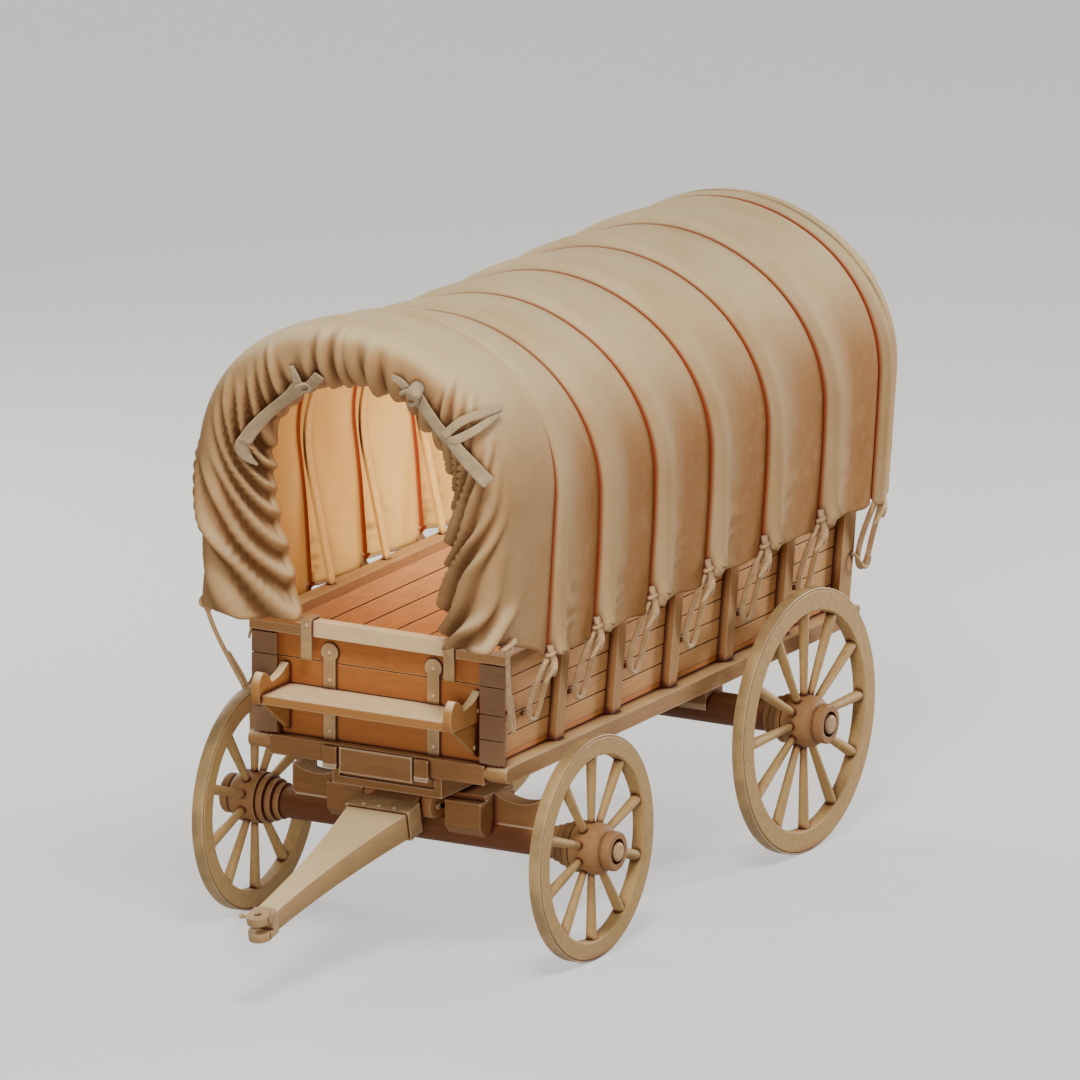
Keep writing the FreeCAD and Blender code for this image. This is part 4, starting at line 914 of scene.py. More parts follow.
    def surface(self) -> np.ndarray:
        """Return the sheet without its folds, its creases leaning forward over the ridge.

        Returns:
            The points, by row and column.
        """
        place, half, ridge, hem = (self.table[:, k][:, None] * np.ones_like(self.share) for k in range(4))
        x, z = self.arch(self.share, half, ridge, hem)
        drawn = 1 - smooth(*self.drawn_half, half)
        low = 1 - smooth(*self.draw_in_heights, z)
        x = x * (1 - self.draw_in * low * drawn)
        back = drawn * sum(far * (1 - smooth(below, above, z)) for far, below, above in self.hang_back)
        middle = smooth(-1.05, -0.45, place) * (1 - smooth(2.0, 2.28, place))
        y = place + np.where(place < 0, back, -back) - self.crease_lean * middle * smooth(1.9, 3.0, z)
        return np.stack([x, y, z], axis=2)

    def normals(self, points: np.ndarray) -> np.ndarray:
        """Return the outward direction at each point of a sheet.

        Args:
            points: the sheet's points, by row and column.

        Returns:
            The directions, one metre long, in the same order.
        """
        normal = unit(np.cross(np.gradient(points, axis=1), np.gradient(points, axis=0)))
        middle = normal[len(normal) // 2, normal.shape[1] // 2]
        return normal if middle[2] > 0 else -normal

    def noise_line(self, count: int, stream: random.Random) -> np.ndarray:
        """Return a smooth line of random numbers from -1 to 1.

        Args:
            count: how many random numbers it runs through.
            stream: source of the seeded numbers.

        Returns:
            The numbers, evenly spaced.
        """
        knots = [stream.uniform(-1, 1) for _ in range(count)]
        base = np.interp(np.linspace(0, count - 1, self.line_samples), range(count), knots)
        kernel = np.hanning(self.line_samples // count + 3)
        padded = np.pad(base, len(kernel), mode="edge")
        soft = np.convolve(padded, kernel / kernel.sum(), "same")
        return soft[len(kernel):len(kernel) + self.line_samples]

    def lookup(self, line: np.ndarray, where: np.ndarray) -> np.ndarray:
        """Read a line of numbers at places from 0 to 1."""
        return np.interp(where, np.linspace(0, 1, len(line)), line)

    def relief(self) -> tuple[np.ndarray, np.ndarray, np.ndarray]:
        """Add up the lift of the bays and the gathered ends.

        Returns:
            How far each point stands off the bare surface, how much painted shade lies along a crease there,
            and how much painted shade lies between two pleats.
        """
        stream = random.Random(self.seed)
        lift, wash = self.bays(stream)
        pleat_shade = np.zeros_like(wash)
        along = run_length(self.bare[:, self.columns // 2])[:, None] * np.ones_like(self.share)
        ahead = self.table[:, :1] < 0.5
        for depth, pleats, here in ((along, self.front_pleats, ahead),
                                    (along[-1] - along, self.rear_pleats, ~ahead)):
            fold, dark = self.pleats(depth, *pleats, stream)
            lift = lift + np.where(here, fold, 0)
            pleat_shade = np.maximum(pleat_shade, np.where(here, dark, 0))
        return lift, wash, pleat_shade

    def bays(self, stream: random.Random) -> tuple[np.ndarray, np.ndarray]:
        """Shape the bays: a crease before each bow, a rib behind it and a hollow.

        Args:
            stream: source of the seeded numbers.

        Returns:
            The lift of each point and how much painted shade lies along and ahead of a crease there.
        """
        place = self.table[:, :1] * np.ones_like(self.share)
        z = self.bare[:, :, 2]
        side = 1 - smooth(*self.side_heights, z)
        lift, wash = np.zeros_like(z), np.zeros_like(z)
        for index, crease in enumerate(self.creases):
            first, last = index == 0, index + 1 == len(self.creases)
            strength = 0.75 * (1 - smooth(2.35, 2.85, z)) if first else np.ones_like(z)
            near = np.exp(-(np.abs(place - crease) / self.crease_width) ** 1.8) * strength
            lift -= self.crease_depth * near
            wash = np.maximum(wash, near)
            behind = np.clip(place - crease, 0, None)
            fall = np.clip(behind - self.rib_full, 0, None) / self.rib_fall
            rib = smooth(0, self.rib_rise, behind) * np.exp(-fall ** 1.5)
            lift += self.rib_height * side * rib * strength
            ahead = np.clip(crease - place, 0, None)
            soft_dark = np.exp(-(ahead / self.crease_shade) ** 1.2) * (place < crease) * strength
            # Painted shade: a soft dark ahead of each crease, stronger on the sides.
            wash = np.maximum(wash, 0.34 * soft_dark * (0.3 + 0.7 * side))
            if last:
                continue
            share = np.clip((place - crease) / (self.creases[index + 1] - crease), 0, 1)
            hill = smooth(0, 0.13, share) * (1 - smooth(0.25, 1.0, share))
            lift += hill * (self.hill_top * (1 - side) + self.hill_side * side) * (0.5 if first else 1.0)
            lift += self.drape(index, share, place - crease, z, side, stream)
        return lift, wash

    def drape(self, index: int, share: np.ndarray, behind: np.ndarray, z: np.ndarray, side: np.ndarray,
              stream: random.Random) -> np.ndarray:
        """Return the folds that fan out from one tie, and the slow waves of the cloth beside it.

        Args:
            index: number of the bow in front.
            share: place between this crease and the next one, from 0 to 1.
            behind: distance behind the crease.
            z: height of each point.
            side: 1 on the sides of the top and 0 over its ridge.
            stream: source of the seeded numbers.

        Returns:
            The lift of each point.
        """
        height = z - self.rings[index]
        inside = (share > 0) & (share < 1)
        folds = np.zeros_like(z)
        for lean, size, length in self.fans:
            lean *= stream.uniform(0.85, 1.15)
            line = self.fan_start + height * lean
            width = self.fan_width + self.fan_widening * np.clip(height, 0, 1)
            fan = np.exp(-((behind - line) / width) ** 2) * (1 - smooth(0.12 * length, length, height))
            folds += self.fan_height * size * fan * smooth(0.0, 0.08, share)
        span = stream.uniform(2.6, 3.6)
        wave = np.sin(share * math.pi * span + index * 1.7 + z * 1.3) * np.sin(share * math.pi)
        folds += self.wave_height * wave * side
        return np.where(inside, folds, 0)

    def pleats(self, depth: np.ndarray, height: float, reach: float,
               stream: random.Random) -> tuple[np.ndarray, np.ndarray]:
        """Return the pleats that a drawstring pulls into one end.

        Args:
            depth: distance of each point from the drawn edge.
            height: of a pleat at the string.
            reach: length of the pleats, as a share of the front ones.
            stream: source of the seeded numbers.

        Returns:
            The lift of each point and how much painted shade lies between two pleats.
        """
        side = np.abs(self.share)
        steep = smooth(0.16, 0.50, side)
        slide = side + 0.03 * depth + steep * (0.26 * depth + 0.80 * depth ** 2)
        whole = (self.share + 1) / 2
        phase = self.pleat_count * slide - self.pleat_spread * slide ** 2
        phase += (0.28 + 0.22 * steep) * self.lookup(self.noise_line(19, stream), whole)
        phase += 0.20 * self.lookup(self.noise_line(9, stream), np.clip(depth / 0.8, 0, 1)) * steep
        signed = np.where(self.share > 0, phase, -phase)
        centres = np.arange(-30, 31) + 0.5
        vigour = np.interp(signed, centres, [stream.uniform(0.60, 1.25) for _ in centres])
        length = np.interp(signed, centres, [stream.uniform(0.72, 1.22) for _ in centres])
        far = reach * (self.pleat_length + 0.07 * steep + 0.08 * smooth(0.6, 0.9, side)) * length
        fade = (1 - smooth(0.40, 1.0, depth / far)) * (0.35 + 0.65 * smooth(0.0, 0.085, depth))
        turn = phase - np.floor(phase)
        roll = 0.5 - 0.5 * np.cos(2 * math.pi * turn ** (1 + 0.5 * steep))
        tall = height * (0.85 + 0.70 * steep)
        even = tall * (1 - smooth(0.3, 1.0, depth / (reach * (self.pleat_length + 0.07 * steep))))
        groove = self.string_depth * np.exp(-((depth - self.string_place) / self.string_width) ** 2)
        frill = self.frill * np.sin(phase * math.pi * 2.0) * (1 - smooth(0.04, 0.10, depth))
        valley = 1 - 0.06 * steep
        gap = np.minimum(np.abs(turn - valley), np.abs(turn + 1 - valley))
        dark = np.exp(-(gap / (0.11 + 0.06 * steep)) ** 2) * fade * smooth(0.0, 0.05, depth) * vigour
        return tall * vigour * fade * roll - 0.50 * even - groove + frill, np.clip(dark, 0, 1)

    def hollows(self, lift: np.ndarray) -> np.ndarray:
        """Return how deep each point lies below the cloth around it, from 0 to 1.

        Args:
            lift: how far each point stands off the bare surface.

        Returns:
            The depth, 0 level with the cloth around it and 1 at the full depth or more.
        """
        along = run_length(self.bare[:, self.columns // 2])
        even = np.linspace(0, along[-1], self.level_rows)
        level = np.array([np.interp(even, along, column) for column in lift.T]).T
        for axis, reach in enumerate(self.level_reach):
            kernel = np.hanning(reach + 2)[1:-1]
            kernel /= kernel.sum()
            level = np.apply_along_axis(lambda line: np.convolve(np.pad(line, reach // 2, mode="edge"),
                                                                 kernel, "valid"), axis, level)
        level = np.array([np.interp(along, even, column) for column in level.T]).T
        return np.clip((level - lift) / self.hollow_depth, 0, 1)

    def rolled(self, points: np.ndarray, radius: float, steps: int) -> np.ndarray:
        """Roll both ends of the first axis inward, as a turned hem.

        Args:
            points: the sheet's points.
            radius: of the roll.
            steps: points round each roll.

        Returns:
            The points with the rolls added at both ends.
        """
        normal = self.normals(points)
        head, tail = [], []
        for edge, inner, made in ((0, 2, head), (-1, -3, tail)):
            away = unit(points[edge] - points[inner])
            out = normal[edge]
            centre = points[edge] - out * radius
            for step in range(1, steps + 1):
                turn = step / steps * math.radians(self.hem_turn)
                made.append(centre + radius * (out * math.cos(turn) + away * math.sin(turn)))
        return np.concatenate([np.array(head[::-1]), points, np.array(tail)], axis=0)

    def build(self) -> bpy.types.Object:
        """Model the sheet from a grid, hem it and give it its thickness.

        Returns:
            The finished canvas.
        """
        points = self.rolled(self.points, self.hem_radius, self.hem_steps)
        points = self.rolled(points.transpose(1, 0, 2), self.hem_radius, self.hem_steps).transpose(1, 0, 2)
        # Both sides of the cloth read the same numbers, so each table is laid out twice.
        wash, fold, flank = (np.tile(np.pad(field, self.hem_steps, mode="edge").ravel(), 2)
                             for field in (self.wash, self.shade, self.bay_shade()))
        piece = grid_piece("canvas_sheet", points)
        mesh = piece.data
        self.lay_cloth(mesh, points)
        mesh.update()
        if mesh.polygons[len(mesh.polygons) // 2].normal.z < 0:
            mesh.flip_normals()
        count = len(mesh.vertices)
        apply_modifier(piece, "SOLIDIFY", thickness=self.thickness, offset=-1.0)
        total = len(mesh.vertices)
        # Marks the inner side for its painted light through the cloth.
        paint(piece, "lit_lining", np.arange(total) >= count)
        # Painted shade along and ahead of each crease.
        paint(piece, "wash", wash[:total])
        # Painted shade in the hollows and between the pleats.
        paint(piece, "fold", fold[:total])
        upright = np.array([vertex.normal.z for vertex in mesh.vertices])
        # Painted shade: faces that do not look up take the flank colour, by the share across each bay.
        paint(piece, "flank", (1 - smooth(0.10, 0.85, upright)) * flank[:total])
        for face in mesh.polygons:
            face.use_smooth = True
        return piece

    def bay_shade(self) -> np.ndarray:
        """Return the share of painted shade on the sides of the top: least behind each crease, and more
        towards the next.

        Returns:
            A share for each point.
        """
        place = self.table[:, :1] * np.ones_like(self.share)
        last = np.clip(np.searchsorted(self.creases, place, side="right") - 1, 0, len(self.creases) - 1)
        behind = place - self.creases[last]
        more = self.shade_more * smooth(*self.shade_span, behind)
        return np.where(behind < 0, self.shade_ahead, self.shade_least + more)

    def lay_cloth(self, mesh: bpy.types.Mesh, points: np.ndarray) -> None:
        """Lay out the weave in metres of cloth.

        Args:
            mesh: the grid's mesh.
            points: its points, by row and column.
        """
        along = run_length(points[:, points.shape[1] // 2])
        over = run_length(points[len(points) // 2])
        flat = np.stack(np.broadcast_arrays(over[None, :], along[:, None]), axis=2).reshape(-1, 2)
        layer = mesh.uv_layers[0]
        layer.name = "cloth"
        corners = np.zeros(len(mesh.loops), int)
        mesh.loops.foreach_get("vertex_index", corners)
        layer.data.foreach_set("uv", flat[corners].astype(np.float32).ravel())

    def spot(self, target: Point, lift: float) -> tuple[Vector, Vector]:
        """Return the place on the bare sheet nearest to a target, lifted off it, and the way out.

        Args:
            target: a point near the sheet.
            lift: distance off the bare sheet.

        Returns:
            The place and the outward direction.
        """
        distance = np.linalg.norm(self.bare - np.array(target), axis=2)
        row, column = np.unravel_index(np.argmin(distance), distance.shape)
        out = self.outward[row, column]
        return Vector(self.bare[row, column] + out * lift), Vector(out)


# ---------------------------------------------------------------------------
# Strings, straps and ties
# ---------------------------------------------------------------------------
def ribbon(name: str, line: list[tuple], thickness: float = 0.009, steps: int = 6) -> bpy.types.Object:
    """Make a flat strap along a line on the cloth.

    Args:
        name: the object's name.
        line: for each control point its place, the way out of the cloth and the strap's width there.
        thickness: of the webbing.
        steps: points between two control points.

    Returns:
        The strap, its corners rounded.
    """
    run = np.array(smooth_run([[*place, *out, width] for place, out, width in line], steps))
    places, outs, widths = run[:, :3], run[:, 3:6], run[:, 6:]
    across = unit(np.cross(np.gradient(places, axis=0), outs))
    rows = [places + across * widths * share for share in (-0.5, -0.2, 0.2, 0.5)]
    piece = grid_piece(name, np.stack(rows, axis=1))
    piece.data.update()
    apply_modifier(piece, "SOLIDIFY", thickness=thickness, offset=0.0)
    apply_modifier(piece, "SUBSURF", levels=1, render_levels=1)
    recalculate(piece)
    soften(piece, 60.0)
    return piece


def knot(name: str, centre: Vector, radius: float, squash: Point, seed: int) -> bpy.types.Object:
    """Make a lumpy knot: a ball pulled out of round by a few waves, then squashed.

    Args:
        name: the object's name.
        centre: of the knot.
        radius: of the ball before it is squashed.
        squash: stretch along x, y and z.
        seed: of its lumps.

    Returns:
        The knot.
    """
    deselect()
    bpy.ops.mesh.primitive_ico_sphere_add(subdivisions=3, radius=radius, location=(0, 0, 0))
    piece = bpy.context.object
    piece.name = piece.data.name = name
    stream = random.Random(seed)
    waves = [(Vector([stream.uniform(-1, 1) for _ in range(3)]).normalized(), stream.uniform(2.2, 3.6),
              stream.uniform(0, 6)) for _ in range(4)]
    for vertex in piece.data.vertices:
        way = vertex.co.normalized()
        lump = sum(math.sin(way.dot(axis) * pace + shift) for axis, pace, shift in waves)
        vertex.co = way * radius * (1 + 0.09 * lump)
        vertex.co = centre + Vector(part * stretch for part, stretch in zip(vertex.co, squash))
    recalculate(piece)
    soften(piece, 60.0)
    return piece


@dataclass
class DrawStraps:
    """Straps and knots of the drawstring over the front opening."""

    top: CanvasTop
    # Width of the webbing, its scale, and how far it stands off the bare sheet.
    width: float = 0.062
    width_scale: float = 1.25
    lift: float = 0.046
    # Each strap: how far it stands off the rest, and its points as x, y, z and width.
    left: tuple = (
        (0.0, ((-0.592, -1.53, 2.575, 0.95), (-0.535, -1.54, 2.655, 1.0), (-0.440, -1.53, 2.755, 0.92),
               (-0.330, -1.53, 2.850, 0.98), (-0.255, -1.54, 2.915, 1.25))),
        (-0.012, ((-0.565, -1.53, 2.625, 0.9), (-0.615, -1.53, 2.560, 1.05), (-0.600, -1.50, 2.500, 0.7),
                  (-0.560, -1.48, 2.440, 0.15))),
        (0.008, ((-0.275, -1.54, 2.900, 0.7), (-0.262, -1.56, 2.960, 0.6), (-0.268, -1.58, 3.030, 0.45))),
        (0.004, ((-0.255, -1.54, 2.900, 0.6), (-0.190, -1.56, 2.940, 0.75), (-0.120, -1.57, 2.985, 0.80))))
    right: tuple = (
        (-0.004, ((0.300, -1.59, 3.030, 0.45), (0.350, -1.59, 2.995, 0.6), (0.410, -1.59, 2.945, 0.7))),
        (0.0, ((0.440, -1.59, 2.950, 1.0), (0.500, -1.59, 2.890, 1.0), (0.580, -1.59, 2.800, 1.0),
               (0.615, -1.60, 2.760, 0.9))),
        (0.012, ((0.590, -1.60, 2.775, 0.55), (0.660, -1.58, 2.830, 0.60), (0.735, -1.52, 2.870, 0.55),
                 (0.790, -1.44, 2.890, 0.30))),
        (0.002, ((0.790, -1.44, 2.885, 0.30), (0.740, -1.53, 2.820, 0.50), (0.670, -1.59, 2.765, 0.60),
                 (0.600, -1.60, 2.745, 0.50))),
        (0.0, ((0.620, -1.60, 2.760, 0.95), (0.680, -1.60, 2.690, 1.0), (0.745, -1.59, 2.610, 1.0),
               (0.790, -1.57, 2.550, 0.9))))
    # The cord round each knot: place, half width of its turn and radius. Then how far it stands off the
    # straps, where its turn starts in degrees, and its height and wave.
    left_cord: tuple = ((-0.235, -1.55, 2.915), 0.036, 0.010)
    right_cord: tuple = ((0.420, -1.59, 2.955), 0.050, 0.012)
    cord_lift: float = 0.012
    cord_start: float = 20.0
    cord_height: float = 0.8
    cord_wave: float = 0.006
    # The knot of the right strap.
    ball: Point = (0.440, -1.59, 2.965)
    ball_lift: float = 0.020
    ball_radius: float = 0.042
    ball_squash: Point = (1.0, 0.9, 1.05)
    ball_seed: int = 5

    def line(self, places: tuple, lift: float) -> list[tuple]:
        """Lay the points of a strap on the cloth.

        Args:
            places: the strap's points as x, y, z and width.
            lift: how far it stands off the rest.

        Returns:
            For each point its place, the way out of the cloth and the strap's width in metres.
        """
        made = []
        for x, y, z, width in places:
            spot, out = self.top.spot((x, y, z), self.lift + lift)
            made.append((spot, out, width * self.width * self.width_scale))
        return made

    def cord(self, place: Point, size: float, radius: float) -> bpy.types.Object:
        """Lay three quarters of a turn of cord round a knot.

        Args:
            place: the middle of the turn.
            size: its half width.
            radius: of the cord.

        Returns:
            The cord.
        """
        centre, out = self.top.spot(place, self.lift + self.cord_lift)
        side = out.cross(Vector((0, 0, 1))).normalized()
        up = side.cross(out).normalized()
        points = []
        for step in range(7):
            a = math.radians(step * 45 + self.cord_start)
            flat = centre + side * math.cos(a) * size + up * math.sin(a) * size * self.cord_height
            points.append(flat + out * self.cord_wave * math.sin(2 * a))
        return tube("strap", points, radius, sides=3)

    def build(self) -> bpy.types.Object:
        """Model both straps with their knots and ends.

        Returns:
            The straps as one piece.
        """
        made = []
        for straps, cord in ((self.left, self.left_cord), (self.right, self.right_cord)):
            made += [ribbon("strap", self.line(places, lift)) for lift, places in straps]
            made.append(self.cord(*cord))
        centre, _ = self.top.spot(self.ball, self.lift + self.ball_lift)
        made.append(knot("strap", centre, self.ball_radius, self.ball_squash, self.ball_seed))
        return join(made, "front_draw_straps")


@dataclass
class SideTies:
    """Rings, knots and rope loops that hold the canvas to the cleats."""

    top: CanvasTop
    rope: float = 0.0150
    neck: float = 0.0185
    ring: float = 0.0105
    end_thickness: float = 0.012
    # A tie is modelled about its ring, with this drop to the cleat, and stretched to each real one.
    template_drop: float = 0.430
    cleat_under: float = 1.202
    ring_x: float = 0.812
    ring_below: float = 0.012
    rear_corner: tuple = (2.246, 1.612)
    # The ring: centre, half sizes, how far it leans and where.
    ring_line: tuple = ((0.004, 0.0, -0.004), (0.020, 0.026), 0.006, 0.6)
    neck_line: tuple = ((0.000, 0.000, 0.045), (0.004, 0.002, 0.010), (0.012, 0.010, -0.030),
                        (0.018, 0.016, -0.062), (0.014, 0.006, -0.092))
    # The two loose ends: place, way out and width of each point.
    ends: tuple = (
        (((0.026, 0.014, -0.050), (1, 0, 0.2), 0.030), ((0.032, -0.006, -0.082), (1, -0.2, 0.2), 0.027),
         ((0.026, -0.040, -0.118), (1, -0.3, 0.1), 0.022), ((0.016, -0.078, -0.156), (1, -0.3, 0), 0.008)),
        (((0.024, 0.020, -0.060), (1, 0.3, 0), 0.024), ((0.024, 0.022, -0.100), (1, 0.3, 0), 0.022),
         ((0.016, 0.004, -0.140), (1, 0.1, 0), 0.008)))
    loop_line: tuple = (
        (-0.006, -0.008, -0.030), (-0.020, -0.030, -0.080), (-0.060, -0.030, -0.180),
        (-0.100, -0.026, -0.300), (-0.117, -0.014, -0.385), (-0.121, 0.022, -0.430),
        (-0.121, 0.062, -0.430), (-0.115, 0.092, -0.385), (-0.096, 0.086, -0.300),
        (-0.052, 0.062, -0.180), (-0.010, 0.034, -0.080), (0.004, 0.012, -0.036))

    def template(self) -> bpy.types.Object:
        """Model one tie of the right side: ring, neck, loose ends and the loop to the cleat.

        Returns:
            The tie, its ring at the origin.
        """
        made = [tube("tie", ring_line(*self.ring_line), self.ring, closed=True),
                tube("tie", self.neck_line, self.neck)]
        for end in self.ends:
            line = [(Vector(place), Vector(out), width) for place, out, width in end]
            made.append(ribbon("tie", line, self.end_thickness))
        made.append(tube("tie", self.loop_line, self.rope))
        return join(made, "tie")

    def build(self) -> bpy.types.Object:
        """Copy the tie to the first six bows and the rear corners, on both sides.

        Returns:
            All side ties as one piece.
        """
        spots = [(crease, height - self.ring_below)
                 for crease, height in zip(self.top.creases[:-1], self.top.rings)]
        places = []
        for along, height in spots + [self.rear_corner]:
            stretch = (height - self.cleat_under) / self.template_drop
            for side in (1, -1):
                shift = Matrix.Translation((side * self.ring_x, along, height))
                places.append(shift @ Matrix.Diagonal((side, 1.0, stretch, 1.0)))
        return copies(self.template(), places, "side_ties")


# ---------------------------------------------------------------------------
# Ironwork and small timber
# ---------------------------------------------------------------------------
def land(piece: bpy.types.Object, start: Point, way: Point) -> tuple[Vector, Vector]:
    """Return where a line meets a piece of the frame, and the way out of its surface there.

    Args:
        piece: a node of the frame.
        start: where the line starts.
        way: its direction.

    Returns:
        The place and the direction.
    """
    met, place, out, _ = piece.ray_cast(Vector(start), Vector(way))
    if not met:
        raise ValueError(f"no surface of {piece.name} on the line from {start}")
    return place.copy(), out.copy()


def standing(place: Vector, out: Vector) -> Matrix:
    """Return the move that stands a small piece on a surface."""
    return Matrix.Translation(place) @ out.to_track_quat("Z", "Y").to_matrix().to_4x4()


@dataclass
class Rivets:
    """Domed rivet heads on a raised washer."""

    nodes: dict
    radius: float = 0.0125
    height: float = 0.0075
    # Each step of the dome: how far it draws in and how far it rises, as shares of radius and height.
    steps: tuple = ((0.16, 0.10), (0.20, 0.24), (0.26, 0.14), (0.30, 0.05))

    def template(self) -> bpy.types.Object:
        """Model one head: a low disc with its rim drawn in and a dome above it.

        Returns:
            The head, its foot at the origin.
        """
        deselect()
        bpy.ops.mesh.primitive_cylinder_add(vertices=20, radius=self.radius, depth=self.height * 0.5,
                                            end_fill_type="NGON", location=(0, 0, self.height * 0.25))
        piece = bpy.context.object
        inset_faces(piece, (0, 0, 1), [(self.radius * inset, (0, 0, self.height * rise))
                                       for inset, rise in self.steps])
        soften(piece, 70.0)
        return piece

    def build(self, name: str, lines: list[tuple]) -> bpy.types.Object:
        """Set a head wherever a line meets a piece of the frame.

        Args:
            name: the joined piece's name.
            lines: for each head the node it stands on, where the line starts and its direction.

        Returns:
            The heads as one piece.
        """
        places = [standing(*land(self.nodes[node], start, way)) for node, start, way in lines]
        return copies(self.template(), places, name)


@dataclass
class FrontTrim:
    """Cladding on the fronts of the corner posts, and the plate and clips on the front sill."""

    front: float = -1.255
    sunk: float = 0.0012
    # Cladding boards: heights of their joints, both sides of the post, thickness and the gap at each end.
    joints: tuple = (1.036, 1.158, 1.285, 1.425, 1.536)
    post: tuple = (0.566, 0.708)
    clad_thickness: float = 0.010
    clad_gap: float = 0.0015
    clad_round: float = 0.003
    # The plate, and an upright and a foot of each clip beside it.
    sill_front: float = -1.276
    plate_half: float = 0.205
    plate_heights: tuple = (0.890, 1.020)
    plate_thickness: float = 0.014
    plate_round: float = 0.004
    clip: tuple = (0.216, 0.296)
    clip_heights: tuple = (0.905, 1.016)
    clip_thickness: float = 0.020
    clip_foot: float = 0.926
    clip_reach: float = 0.070
    clip_round: float = 0.006

    def board(self, low: Point, high: Point, round_edge: float) -> bpy.types.Object:
        """Model a small board with rounded edges and a slightly sunk front.

        Args:
            low: its corner with the lowest x, y and z.
            high: its corner with the highest x, y and z.
            round_edge: how far its edges are rounded.

        Returns:
            The board.
        """
        low, high = Vector(low), Vector(high)
        deselect()
        bpy.ops.mesh.primitive_cube_add(size=1.0, location=(low + high) / 2, scale=high - low)
        piece = bpy.context.object
        bpy.ops.object.transform_apply(location=True, rotation=True, scale=True)
        inset_faces(piece, (0, -1, 0), [(min(high - low) * 0.45, (0, self.sunk, 0))])
        apply_modifier(piece, "BEVEL", width=round_edge, segments=2, limit_method="ANGLE",
                       angle_limit=math.radians(40))
        soften(piece, 40.0)
        return piece

    def build(self) -> dict[str, bpy.types.Object]:
        """Model the boards and plates.

        Returns:
            The joined pieces by name.
        """
        cladding = []
        for side in (-1, 1):
            inner, outer = sorted(side * x for x in self.post)
            for low, high in zip(self.joints, self.joints[1:]):
                cladding.append(self.board((inner, self.front - self.clad_thickness, low + self.clad_gap),
                                           (outer, self.front, high - self.clad_gap), self.clad_round))
        low, high = self.plate_heights
        plates = [self.board((-self.plate_half, self.sill_front - self.plate_thickness, low),
                             (self.plate_half, self.sill_front, high), self.plate_round)]
        low, high = self.clip_heights
        for side in (-1, 1):
            inner, outer = sorted(side * x for x in self.clip)
            corner = (inner, self.sill_front - self.clip_thickness, low)
            upright = (outer, self.sill_front, high)
            foot = (outer, self.sill_front + self.clip_reach, self.clip_foot)
            plates += [self.board(corner, far, self.clip_round) for far in (upright, foot)]
        pieces = {"corner_post_cladding": cladding, "front_sill_plates": plates}
        return {name: join(boards, name) for name, boards in pieces.items()}


@dataclass
class EndTies:
    """Hooks on the corner posts, and the ropes from the canvas tails to the front ones."""

    hook_radius: float = 0.0085
    rope: float = 0.0115
    ring: float = 0.012
    # The ring through the canvas tail: centre, half sizes, how far it leans and where.
    ring_line: tuple = ((0.838, -1.462, 1.712), (0.030, 0.052), 0.020, 0.7)
    knot_place: Point = (0.838, -1.462, 1.684)
    knot_radius: float = 0.026
    knot_squash: Point = (0.9, 1.0, 1.1)
    knot_seed: int = 7
    # Lines of the right side. The left side is their mirror image.
    rear_hook: tuple = ((0.700, 2.170, 1.300), (0.724, 2.180, 1.290), (0.734, 2.205, 1.235),
                        (0.734, 2.250, 1.205), (0.732, 2.290, 1.222), (0.730, 2.302, 1.262))
    front_hook: tuple = ((0.690, -1.215, 1.300), (0.722, -1.220, 1.296), (0.738, -1.232, 1.250),
                         (0.742, -1.262, 1.226), (0.742, -1.288, 1.244), (0.740, -1.292, 1.274))
    rope_line: tuple = (
        (0.842, -1.470, 1.690), (0.830, -1.448, 1.600), (0.790, -1.370, 1.430), (0.752, -1.285, 1.275),
        (0.744, -1.252, 1.212), (0.744, -1.232, 1.222), (0.752, -1.262, 1.290), (0.788, -1.352, 1.430))

    def build(self) -> dict[str, bpy.types.Object]:
        """Model the hooks and the front ropes.

        Returns:
            The joined pieces by name.
        """
        hooks, ropes = [], []
        for side in (-1, 1):
            for line in (self.rear_hook, self.front_hook):
                hooks.append(tube("hook", on_side(line, side), self.hook_radius, sides=3))
            ring = on_side(ring_line(*self.ring_line), side)
            centre = Vector(on_side([self.knot_place], side)[0])
            ropes.append(tube("rope", on_side(self.rope_line, side), self.rope))
            ropes.append(tube("rope", ring, self.ring, closed=True))
            ropes.append(knot("rope", centre, self.knot_radius, self.knot_squash, self.knot_seed))
        pieces = {"corner_hooks": hooks, "front_tail_ropes": ropes}
        return {name: join(parts, name) for name, parts in pieces.items()}


